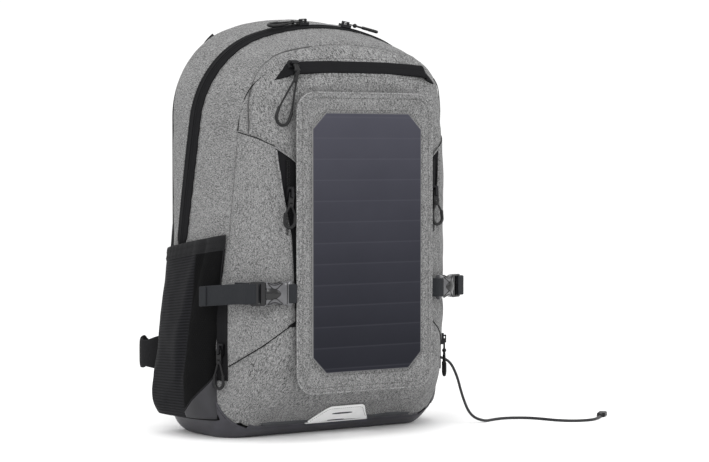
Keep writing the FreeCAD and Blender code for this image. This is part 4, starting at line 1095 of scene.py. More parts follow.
# ------------------------------------------------------------------ wings that carry the compression straps
wl = [(-95.5, 81.8), (-96, 110), (-95.5, 160), (-93.5, 227), (-88, 290), (-84, 336)]
wr_ = [(-95.5, 81.8), (-58, 105.5), (-23, 131), (-26, 200), (-27.3, 222), (-30, 240), (-35, 262), (-38, 280), (-42.8, 317), (-44, 320.5), (-62, 329), (-84, 336)]
def at_z(chain, z):
    for (u0, z0), (u1, z1) in zip(chain, chain[1:]):
        if z0 <= z <= z1:
            return u0 + (u1 - u0) * (z - z0) / max(1e-9, z1 - z0)
    return chain[-1][0]
def wing(side, nm):
    zs = sorted(set([81.9 + 0.4 * k for k in range(3)] + list(np.linspace(83, 130, 22)) + [131.0] + list(np.linspace(134, 316, 66)) + [317, 318.5, 320.5, 323, 326, 329, 331, 333, 334.6, 335.9]))
    m = 46
    rows, uv = [], []
    for z in zs:
        a, b = at_z(wl, z), at_z(wr_, z)
        row, uvr = [], []
        for k in range(m + 1):
            t = k / m
            t = 1 - (1 - t) ** 1.25
            u = a + (b - a) * t
            p, n = diag(u, z, 0.0, side)
            if p is None:
                p, n = Vector(rows[-1][k]) if rows else Vector((0, 0, 0)), Vector((0, -1, 0))
            # the free edge stands a little off the bag between its two sewn ends
            free = sstep(0.55, 1.0, t) * sstep(131, 165, z) * (1 - sstep(285, 318, z))
            belly = sstep(0.0, 0.35, t) * (1 - sstep(0.7, 1.0, t)) * sstep(100, 150, z) * (1 - sstep(290, 330, z))
            strap = math.exp(-((z - 163) / 15.0) ** 2)
            fold = 0.8 * nz(p, 46, 61) + 0.45 * nz(p, 19, 67)
            pull = 0.9 * math.sin((z - 163) * 0.16) * math.exp(-abs(z - 163) / 34.0) * sstep(0.05, 0.3, t) * (1 - sstep(0.8, 1.0, t))
            edge = (1 - sstep(0, 2.5, (b - u))) * 0.0
            d = 1.6 + 1.5 * free + 1.2 * belly * (1 - 0.8 * strap) + (fold + pull) * (1 - 0.7 * strap) * min(1.0, 4 * t * (1 - t) + 0.15)
            d -= crease(u - a, 3.0, 0.0)
            # sewn-down borders sink towards the shell
            d -= 1.0 * (1 - sstep(0, 3.2, (u - a) * 1.2)) + 0.9 * (1 - sstep(0, 4.0, 336 - z)) * (1 - t) + 0.0 * edge
            low = z - (81.8 + (u + 95.5) * (105.5 - 81.8) / 37.5) if u < -58 else z - (105.5 + (u + 58) * (131 - 105.5) / 35.0)
            d -= 1.0 * (1 - sstep(0, 3.0, low)) * (1 - free)
            # flat where the stash slider runs over it
            flat_k = sstep(-44, -37, u) * (1 - sstep(246, 266, z))
            row.append(p + n * max(0.6, min(d, 3.9 - 1.95 * flat_k)))
            uvr.append((u * 1.25 + 300, z))
        rows.append(row); uv.append(uvr)
    # the right one is cut back in front of the short cable zip
    cutout = lambda i, j: side > 0 and all(r.y > -63.0 and r.z < 137 for r in (rows[i][j], rows[i][j + 1], rows[i + 1][j], rows[i + 1][j + 1]))
    o = grid("wing_cloth_" + nm, rows, GREY_WING, uv, flip=side < 0, skip=cutout)
    tidy(o)
    solidify(o, 1.5, -1.0)
    done(o, "bag_front", "woven_grey", *(["wings"] if side < 0 else []))
    # bound free edge and its stitch rows
    edge_z = [z for z in zs if 131 <= z <= 318]
    edge_pts = [row[-1] for row, z in zip(rows, zs) if 131 <= z <= 318]
    edge_pts = [p - nearest(p)[1] * (0.75 * (1 - sstep(246, 266, z))) for p, z in zip(edge_pts, edge_z)]
    done(tube("wing_edge_" + nm, edge_pts, [0.7 + 0.45 * sstep(246, 266, z) for z in edge_z], GREY_WING, 8), "bag_front", "woven_grey")
    if edge_pts:
        st = [row[-5] + diag(-60, z, 0, side)[1] * 0.25 for row, z in zip(rows, zs) if 266 <= z <= 312]
        stitches("wing_stitch_" + nm, st, THREAD, "bag_front", "woven_grey", lambda c: nearest(c)[1], pitch=3.6, r=0.3)
    # dark seams where it is sewn down: lower edge and upper edge
    lowp, upp = [], []
    for u in np.linspace(-95, -24, 40):
        z = 81.8 + (u + 95.5) * (105.5 - 81.8) / 37.5 if u < -58 else 105.5 + (u + 58) * (131 - 105.5) / 35.0
        lowp.append(diag(u, z - 0.4, 0.55, side)[0])
    for u in np.linspace(-84, -43.5, 30):
        z = 336 - (u + 84) * 7 / 22 if u < -62 else 329 - (u + 62) * 8.5 / 18
        upp.append(diag(u, z + 0.4, 0.75, side)[0])
    done(tube("wing_seam_low_" + nm, lowp, 0.6, SEAM, 6), "bag_front", "zip_tape")
    done(tube("wing_seam_top_" + nm, upp, 0.6, SEAM, 6), "bag_front", "zip_tape")
    rear = [diag(at_z(wl, z) - 0.3, z, 0.6, side)[0] for z in np.linspace(232, 335, 40)]
    done(tube("wing_seam_rear_" + nm, rear, 0.4, GREY_WING, 6), "bag_front", "woven_grey")
wing(-1, "left")
wing(1, "right")

# ------------------------------------------------------------------ pocket zips beside the module and the short cable zips
def flat_tape(name, x0, x1, z0, z1, prof_off, rows_n=60, side=-1, drop=0.0):
    rows, uv = [], []
    for t in np.linspace(0, 1, rows_n):
        row, uvr = [], []
        for x in np.linspace(x0, x1, 13):
            z = z0 + (z1 - drop * (x - x0) / (x1 - x0) - z0) * t
            p, n = onform((side * -x if side > 0 else x, -300, z), (0, 1, 0), 0)
            c = (x0 + x1) / 2
            q = abs(x - c)
            h = prof_off + (0.35 if q < 1.6 else 0.0) - (0.5 if q < 0.4 else 0)
            row.append(p + n * h)
            uvr.append((x + 300, z))
        rows.append(row); uv.append(uvr)
    return grid(name, rows, TAPE, uv, flip=(side > 0))
for side, nm in ((-1, "left"), (1, "right")):
    o = flat_tape("stash_zip_tape_" + nm, -109, -87.6, 126, 319.5, 0.9, side=side, drop=15.5)
    solidify(o, 0.9)
    done(o, "bag_front", "zip_tape", *(["pocket_zip_tapes"] if side < 0 else []))
    lip = []
    for x in np.linspace(-110, -87.2, 16):
        p, n = onform((side * -x if side > 0 else x, -300, 319.9 - 15.5 * (x + 109) / 21.4), (0, 1, 0), 1.35)
        lip.append(p)
    done(tube("stash_lip_" + nm, lip, 1.0, GREY_WING, 8), "bag_front", "woven_grey")
    # coil with its fine teeth
    verts, faces = [], []
    for z in np.arange(226, 307, 1.5):
        for s2 in (-1, 1):
            p, n = onform((side * 97.0, -300, z + (0.75 if s2 > 0 else 0)), (0, 1, 0), 0)
            k = len(verts)
            for a in (-0.45, 0.45):
                for b in (-1.3, 1.3):
                    for c in (1.0, 2.25):
                        verts.append(p + Vector((s2 * 1.15 + b * (1 if c < 2 else 0.65), 0, a)) + n * c)
            for q in ((0, 1, 3, 2), (4, 6, 7, 5), (0, 4, 5, 1), (2, 3, 7, 6), (1, 5, 7, 3), (0, 2, 6, 4)):
                faces.append(tuple(k + e for e in q))
    done(mesh_object("stash_zip_coil_" + nm, verts, faces, PULLM, smooth=False), "bag_front", "zip_tape")
def side_tape(name, side, y0, y1, z0, z1):
    rows, uv = [], []
    for z in np.linspace(z0, z1, 40):
        row, uvr = [], []
        for y in np.linspace(y0, y1, 13):
            p, n = onform((side * 300, y, z), (-side, 0, 0), 0)
            q = abs(y - (y0 + y1) / 2)
            h = 0.95 + (0.5 if q < 2.2 else 0) - (0.7 if q < 0.5 else 0)
            row.append(p + n * h)
            uvr.append((y + 300, z))
        rows.append(row); uv.append(uvr)
    o = grid(name, rows, TAPE, uv, flip=side > 0)
    solidify(o, 0.9)
    return done(o, "bag_front", "zip_tape")
side_tape("cable_zip_tape_left", -1, -38.5, -24.0, 66, 150)
side_tape("cable_zip_tape_right", 1, -60.0, -47.0, 66, 134)
# rubber-edged cable exit
ring = []
for k in range(24):
    a = 2 * math.pi * k / 24
    p, n = onform((300, -43.5 + 2.9 * math.cos(a), 78 + 2.9 * math.sin(a)), (-1, 0, 0), 1.0)
    ring.append(p)
done(tube("cable_exit_grommet", ring, 1.0, MOULD, 8, closed=True), "bag_front", "moulding")

# ------------------------------------------------------------------ reflective patch
def patch_outline():
    c = [(-43, 13.6), (43, 13.6), (25.5, 31.5), (20.5, 33.5), (-20.5, 33.5), (-25.5, 31.5)]
    return c
rows, uv = [], []
for t in np.linspace(0, 1, 20):
    z = 13.8 + (33.4 - 13.8) * t
    half = 43 - (z - 13.6) / (31.5 - 13.6) * 17.5 if z < 31.5 else 25.5 - (z - 31.5) / 2.0 * 4.6
    row, uvr = [], []
    for k in range(41):
        x = -half + 2 * half * k / 40
        p, n = onform((x, -300, z), (0, 1, 0), 0)
        e = min(min(k, 40 - k) / 40 * 2 * half, (33.4 - z) * 1.3, 30)
        row.append(p + n * (2.2 - 0.75 * (1 - sstep(0, 1.6, e)) + 0.1 * nz((x, z, 0), 8)))
        uvr.append((x + 100, z))
    rows.append(row); uv.append(uvr)
o = grid("reflective_patch_cloth", rows, REFLECT, uv)
solidify(o, 0.9)
done(o, "bag_front", "reflective", "reflective_patch")
edge = [(-38.2, 16.6), (-23.6, 30.0), (-19.8, 31.4), (19.8, 31.4), (23.6, 30.0), (38.2, 16.6)]
line = []
for a, b in zip(edge, edge[1:]):
    for k in range(10):
        x, z = a[0] + (b[0] - a[0]) * k / 10, a[1] + (b[1] - a[1]) * k / 10
        line.append(onform((x, -300, z), (0, 1, 0), 2.3)[0])
stitches("patch_stitch", line, THREAD, "bag_front", "reflective", lambda c: nearest(c)[1], pitch=2.6, length=1.8, r=0.26)
def lozenge(name, x0, x1, z, h, mat):
    rows = []
    for k in range(25):
        x = x0 + (x1 - x0) * k / 24
        hh = h * math.sqrt(max(0.02, 1 - ((k - 12) / 12.4) ** 4))
        row = []
        for j in range(7):
            a = math.pi * j / 6
            p, n = onform((x, -300, z + hh / 2 * math.cos(a)), (0, 1, 0), 2.15 + 0.45 * math.sin(a))
            row.append(p)
        rows.append(row)
    o = grid(name, rows, mat)
    solidify(o, 0.3)
    return done(o, "bag_front", "reflective")
SLOT = dark_cloth("patch_slot_grey", srgb(96, 97, 99), 0.6, 0.6, 0.4, use="OBJ")
lozenge("patch_slot_upper", -13.5, 13.5, 24.6, 2.1, SLOT)
lozenge("patch_slot_lower", -14.5, 8.0, 16.4, 1.3, SLOT)

# ------------------------------------------------------------------ side pockets
POCKET = [(22, -22, 17, 86), (70, -22, 21, 86), (130, -23, 17, 82), (180, -31, 11, 76), (240, -43, 4, 70)]
def pocket_par(z):
    z = min(max(z, 22), 240)
    for a, b in zip(POCKET, POCKET[1:]):
        if a[0] <= z <= b[0]:
            t = (z - a[0]) / (b[0] - a[0])
            return [a[k] + (b[k] - a[k]) * t for k in (1, 2, 3)]
    return POCKET[-1][1:]
def pocket_pt(t, z):
    """Plan outline of the pocket's sheet at height z: t from the front seam (0) round to the rear seam (1)."""
    f, b, r = pocket_par(z)
    c = [(-146.0, f - 1.0), (-149.5 - b * 0.25, f + 0.5), (-150.5 - b * 0.72, f + 13), (-150.5 - b * 0.93, f + 28), (-151.2 - b, (f + r) / 2 - 8), (-151.2 - b, (f + r) / 2 + 16),
         (-151 - b * 0.93, r - 22), (-151 - b * 0.72, r - 9), (-150 - b * 0.28, r - 0.5), (-144.0, r + 0.5)]
    n = len(c) - 3
    # uniform cubic B-spline, clamped by repeating the ends
    k = [c[0]] * 2 + c + [c[-1]] * 2
    s = t * (len(k) - 3 - 1e-9)
    i = int(s)
    u = s - i
    w = ((1 - u) ** 3 / 6, (3 * u ** 3 - 6 * u * u + 4) / 6, (-3 * u ** 3 + 3 * u * u + 3 * u + 1) / 6, u ** 3 / 6)
    x = sum(w[q] * k[i + q][0] for q in range(4))
    y = sum(w[q] * k[i + q][1] for q in range(4))
    return Vector((x, y, z))
def top_z(y):
    return 231.6 - (y + 80) * 0.1585
def pocket_surface(t, g, side, lift=0.0):
    """g 0 at the floor seam, 1 at the rim."""
    p = pocket_pt(t, 215)
    zt = top_z(p.y)
    z = 22 + (zt - 22) * g
    p = pocket_pt(t, z)
    e = 0.4
    d = pocket_pt(min(1, t + 0.004), z) - pocket_pt(max(0, t - 0.004), z)
    n = Vector((-d.y, d.x, 0))
    if n.x > 0:
        n = -n
    n.normalize()
    inside = sstep(0.0, 0.08, t) * (1 - sstep(0.92, 1.0, t))
    # a slack fold between the mesh and the elastic panel, and small sags in the mesh
    fold_t = 0.36 + 0.10 * (1 - g)
    fold = -2.6 * math.exp(-((t - fold_t + 0.025) / 0.03) ** 2) + 1.3 * math.exp(-((t - fold_t - 0.03) / 0.035) ** 2)
    sag = -1.8 * math.exp(-((t - 0.2) / 0.11) ** 2) * sstep(0.2, 0.5, g)
    wr = 1.1 * nz(p, 34, 71) + 0.5 * nz(p, 14, 77)
    k = inside * (0.25 + 0.75 * sstep(0, 0.12, g)) * (1.0 - 0.5 * sstep(0.93, 1.0, g))
    p = p + n * ((fold * sstep(0.08, 0.35, g) + sag + wr) * k + lift)
    if g < 0.1:
        q = (1 - g / 0.1)
        p = p + Vector((4.5 * q * q, 0, 0)) * inside
    # its loaded lower rear corner swells outwards
    swell = 7.5 * math.exp(-((p.y - 76) / 24.0) ** 2) * math.exp(-((z - 44) / 30.0) ** 2) * min(1.0, 1.6 * inside)
    p.x = max(p.x - swell, -171.8)
    if side > 0:
        p = Vector((-p.x, p.y, p.z))
    return p
def pocket(side, nm):
    ts = list(np.linspace(0, 1, 121))
    gs = [0, 0.012, 0.03, 0.055, 0.085] + list(np.linspace(0.115, 0.925, 60))
    rows = [[pocket_surface(t, 0, side) + Vector((side * -12.0, 0, -1.2)) * (1 if 0.03 < t < 0.97 else 0.2) for t in ts],
            [pocket_surface(t, 0, side) + Vector((side * -4.0, 0, -1.0)) * (1 if 0.03 < t < 0.97 else 0.3) for t in ts]]
    uv = [[(t * 165, -12) for t in ts], [(t * 165, -4) for t in ts]]
    for g in gs:
        rows.append([pocket_surface(t, g, side) for t in ts])
        uv.append([(t * 165, g * 195) for t in ts])
    if side > 0:
        for r in rows:
            for j, q in enumerate(r):
                if q.y < -20.5:
                    r[j] = q
    o = grid("side_pocket_cloth_" + nm, rows, POCKET_M, uv, flip=side < 0)
    solidify(o, 1.3, -1.0)
    done(o, "bag_front", "pocket_mesh", "side_pocket_" + nm)
    # rim: cloth folded over the elastic
    rows, uv = [], []
    for g, lift in ((0.915, -0.2), (0.922, 0.55), (0.935, 0.95), (0.955, 0.7), (0.965, 1.0), (0.985, 1.0), (0.996, 0.6), (1.0, -0.4), (0.995, -1.5), (0.96, -1.7), (0.93, -1.5)):
        rows.append([pocket_surface(t, g, side, lift + 0.16 * math.sin(t * 150 + g * 9) * sstep(0.3, 0.5, t)) for t in ts])
        uv.append([(t * 165, g * 195 + 3 * lift) for t in ts])
    o = grid("pocket_hem_cloth_" + nm, rows, HEM, uv, flip=side < 0)
    orient(o)
    done(o, "bag_front", "pocket_hem", *(["pocket_hems"] if side < 0 else []))
    for g in (0.933, 0.968):
        pts = [pocket_surface(t, g, side, 1.05) for t in np.linspace(0.03, 0.97, 90)]
        stitches("pocket_stitch_%s_%d" % (nm, int(g * 1000)), pts, THREAD_D, "bag_front", "pocket_hem", lambda c: Vector((side, -0.3, 0)), pitch=3.4)
    # bound front seam
    pts = [pocket_surface(0.018, g, side, -0.35) for g in np.linspace(0, 1, 60)]
    done(tube("pocket_front_seam_" + nm, pts, 0.75, HEM, 8), "bag_front", "pocket_hem")
    pts = [pocket_surface(0.99, g, side, 0.4) for g in np.linspace(0, 1, 60)]
    done(tube("pocket_rear_seam_" + nm, pts, 1.1, HEM, 8), "bag_front", "pocket_hem")
    # coated gore at the low front corner, and its curved seam
    rows, uv, seam = [], [], []
    for t in np.linspace(0.02, 0.40, 44):
        r, u2 = [], []
        a = (t - 0.02) / 0.38
        g0 = 0.004
        g1 = 0.29 - 0.25 * a ** 1.25
        for k in range(17):
            g = g0 + (g1 - g0) * k / 16
            e = min(k, 16 - k) / 16 * (g1 - g0) * 195
            ee = min(e, a * 62, (1 - a) * 62)
            r.append(pocket_surface(t, g, side, 0.35 + 0.65 * sstep(0, 3.0, ee)))
            u2.append((t * 165, g * 195))
        rows.append(r); uv.append(u2)
        seam.append(pocket_surface(t, g1, side, 0.6))
    o = grid("pocket_gore_" + nm, rows, GORE, uv, flip=side > 0)
    solidify(o, 0.5)
    done(o, "bag_front", "coated_base")
    done(tube("pocket_gore_seam_" + nm, seam, 0.75, HEM, 8), "bag_front", "pocket_hem")
pocket(-1, "left")
pocket(1, "right")

# ------------------------------------------------------------------ solar module
MY, MZ = -95.2, 216.0
def rrect(x, z, r, n=12):
    pts = []
    for cx, cz, a0 in ((x - r, z - r, 0), (-x + r, z - r, 90), (-x + r, -z + r, 180), (x - r, -z + r, 270)):
        for k in range(n + 1):
            a = math.radians(a0 + 90 * k / n)
            pts.append((cx + r * math.cos(a), cz + r * math.sin(a)))
    out = []
    for i, p in enumerate(pts):
        out.append(p)
        q = pts[(i + 1) % len(pts)]
        L = math.hypot(q[0] - p[0], q[1] - p[1])
        if L > 8:
            m = int(L / 5)
            for k in range(1, m):
                out.append((p[0] + (q[0] - p[0]) * k / m, p[1] + (q[1] - p[1]) * k / m))
    return out
def module_ring(inset, y, disp=0.0):
    ring = rrect(90.5 - inset, 163.5 - inset, max(2.5, 22 - inset))
    row = []
    for x, z in ring:
        p = Vector((x, y, z + MZ))
        p.y -= disp * (0.55 * nz(p, 26, 91) + 0.35 * nz(p, 11, 95))
        row.append(p)
    return row
base_ring = rrect(90.5, 163.5, 22)
NR = len(base_ring)
prof = [(3.0, -95.3, 0), (0.8, -95.4, 0), (0.25, -96.2, 0), (0.15, -97.6, 0), (0.7, -98.6, 0.2), (1.5, -99.1, 0.3), (2.6, -99.75, 0.5), (4.2, -100.25, 0.6), (5.4, -100.1, 0.4), (6.0, -99.7, 0.2), (6.6, -100.1, 0.4), (8.0, -100.55, 0.7),
        (10.5, -100.7, 0.7), (13.0, -100.6, 0.5), (15.0, -100.35, 0.2), (16.6, -100.05, 0), (22, -100.0, 0), (40, -100.0, 0), (60, -100.0, 0), (78, -100.0, 0)]
def interp_ring(inset, y, disp):
    """Ring with the same number of points, laid out by angle round the same rounded shape."""
    k = (90.5 - inset) / 90.5, (163.5 - inset) / 163.5
    row = []
    for x, z in base_ring:
        # move inwards along the local normal
        nx, nz_ = 0.0, 0.0
        ax, az = abs(x), abs(z)
        if ax > 68.5 and az > 141.5:
            dx, dz = ax - 68.5, az - 141.5
            L = math.hypot(dx, dz)
            nx, nz_ = dx / L, dz / L
        elif ax > 90.4:
            nx = 1.0
        else:
            nz_ = 1.0
        X, Z = ax - nx * min(inset, 90), az - nz_ * min(inset, 90)
        X, Z = max(0.0, X), max(0.0, Z)
        if inset > 22:
            X, Z = ax * k[0], az * k[1]
        p = Vector((math.copysign(X, x), y, math.copysign(Z, z) + MZ))
        p.y -= disp * (0.55 * nz(p, 26, 91) + 0.35 * nz(p, 11, 95))
        row.append(p)
    return row
rows = [interp_ring(*q) for q in prof]
uv = [[(p.x + 300 + (p.x / 90) * 0, p.z) for p in row] for row in rows]
o = grid("module_pad_cloth", rows, GREY_MOD, uv, wrap=True, flip=False)
# back face of the pad
done(o, "solar_module", "woven_grey", "module_carrier")
back = [interp_ring(3.0, -95.3, 0), interp_ring(20, -95.28, 0), interp_ring(50, -95.28, 0), interp_ring(80, -95.28, 0)]
o = grid("module_back_cloth", back, LINING, None, wrap=True, flip=True)
done(o, "solar_module", "lining")
pipe = interp_ring(0.1, -98.15, 0)
done(tube("module_piping", pipe, 1.15, GREY_PIPE, 10, closed=True), "solar_module", "woven_grey")
stitches("module_stitch_edge", interp_ring(6.0, -99.85, 0), THREAD, "solar_module", "woven_grey", lambda c: Vector((0, -1, 0)), pitch=3.4, length=2.3, r=0.28, lift=0.05, closed=True)
def octo(inset, y):
    w, h, c = 145.4 / 2 - inset, 283 / 2 - inset, 17.5 - inset * 0.586
    return [Vector((x, y, MZ + z)) for x, z in ((-w, -h + c), (-w + c, -h), (w - c, -h), (w, -h + c), (w, h - c), (w - c, h), (-w + c, h), (-w, h - c))]
stitches("module_stitch_laminate", octo(-3.2, -100.25), THREAD, "solar_module", "woven_grey", lambda c: Vector((0, -1, 0)), pitch=3.4, length=2.2, r=0.28, lift=0.1, closed=True)

# ------------------------------------------------------------------ straps, webbing and buckles
B0 = Vector((-137.0, -73.0, 163.0))
BT = Vector((42.0, -17.5, 0)).normalized()
BNn = Vector((BT.y, -BT.x, 0))
def at(s, n):
    return B0 + BT * s + BNn * n
def ribbon(name, path, width, thick, mat, side_dir=None, tuck=None, edge_r=0.45, uvo=0.0, wfn=None, waves=0.0):
    """A flat webbing: path of centre points on its inner face in mm with the outward normal at each."""
    rows, uv = [], []
    s = 0.0
    for i, (p, n, up) in enumerate(path):
        if i:
            s += (p - path[i - 1][0]).length
        w = width * (wfn(i / (len(path) - 1)) if wfn else 1.0)
        row, uvr = [], []
        ring = [(-0.5, 0.25), (-0.49, 0.75), (-0.46, 1.0), (-0.3, 1.05), (-0.1, 1.0), (0.1, 1.0), (0.3, 1.05), (0.46, 1.0), (0.49, 0.75), (0.5, 0.25), (0.46, 0.0), (0.2, 0.0), (-0.2, 0.0), (-0.46, 0.0)]
        for a, b in ring:
            q = p + up * (a * w) + n * (b * thick + waves * nz((s, a * w, 0), 14, 5))
            row.append(q)
            uvr.append((a * w + uvo + (30 if b < 0.2 else 0), s))
        rows.append(row); uv.append(uvr)
    o = grid(name, rows, mat, uv, wrap=True, cap_end=True)
    me = o.data
    bm = bmesh.new(); bm.from_mesh(me); bmesh.ops.recalc_face_normals(bm, faces=bm.faces); bm.to_mesh(me); bm.free()
    return o
UPZ = Vector((0, 0, 1))
def mirror_x(v):
    return Vector((-v.x, v.y, v.z))
tail_c = [Vector((-168.5, -26, 0)), Vector((-163.5, -42, 0)), Vector((-156.5, -57, 0)), Vector((-149.5, -69.5, 0)), at(-6, 11.6), at(-1.0, 12.4), at(6.2, 12.4)]
for v in tail_c:
    v.z = B0.z
line = resample(smooth_line(tail_c, 8), 2.0)
for side, nm in ((-1, "left"), (1, "right")):
    path = []
    for i, p in enumerate(line):
        a, b = line[max(0, i - 1)], line[min(len(line) - 1, i + 1)]
        t = (b - a).normalized()
        n = Vector((t.y, -t.x, 0))
        free = 1 - min(1.0, i / (len(line) - 9.0))
        q = p + Vector((0, 0, -4.5 * free ** 1.25))
        if side > 0:
            q, n = mirror_x(q), mirror_x(n)
        path.append((q, n, UPZ))
    o = ribbon("compression_tail_" + nm, path, 22, 1.5, WEB)
    done(o, "buckle_" + nm, "webbing", "compression_strap_" + nm)
    # folded free end
    end = []
    for i in range(6):
        p, n, u = path[i]
        end.append((p + n * 1.5, n, u))
    done(ribbon("compression_tail_fold_" + nm, end, 21.4, 1.2, WEB), "buckle_" + nm, "webbing")
    # sewn leg on the wing, under the buckle
    rows, uv = [], []
    for y in np.linspace(-78, -49.5, 20):
        r, u2 = [], []
        for z in np.linspace(B0.z - 11, B0.z + 11, 12):
            p, n = onform((side * 300, y, z), (-side, 0, 0), 0)
            e = min(1.0, (11 - abs(z - B0.z)) / 1.0 + 0.2)
            r.append(p + n * (3.4 + 0.9 * e)); u2.append((z, y))
        rows.append(r); uv.append(u2)
    o = grid("compression_leg_" + nm, rows, WEB, uv)
    solidify(o, 1.2)
    done(o, "bag_front", "webbing", *(["strap_anchors"] if side < 0 else []))
    bar = []
    for z in np.linspace(B0.z - 9, B0.z + 9, 12):
        bar.append(onform((side * 300, -52.5, z), (-side, 0, 0), 4.45)[0])
    stitches("compression_bartack_" + nm, bar, THREAD_D, "bag_front", "webbing", lambda c: nearest(c)[1], pitch=1.3, length=2.0, r=0.4)
    # short black loop that ties the female half in beside the module, folded over its bar
    P0 = at(38.6, 7.0); P1 = at(42.6, 5.0); P2 = at(47.5, 6.0)
    loop_pts = [at(43.0, 9.5), at(42.2, 13.2), at(43.2, 15.0), at(46.5, 14.6), at(50.5, 11.8), Vector((-89.5, -94.9, 0)), Vector((-86.2, -94.1, 0))]
    for v in loop_pts:
        v.z = B0.z
    lp = resample(smooth_line(loop_pts, 8), 1.0)
    path = []
    for i, p in enumerate(lp):
        a, b = lp[max(0, i - 1)], lp[min(len(lp) - 1, i + 1)]
        t = (b - a).normalized()
        n = Vector((t.y, -t.x, 0))
        q = p
        if side > 0:
            q, n = mirror_x(q), mirror_x(n)
        path.append((q - n * 0.6, n, UPZ))
    o = ribbon("buckle_loop_" + nm, path, 20.5, 1.2, WEB)
    done(o, "bag_front", "webbing")

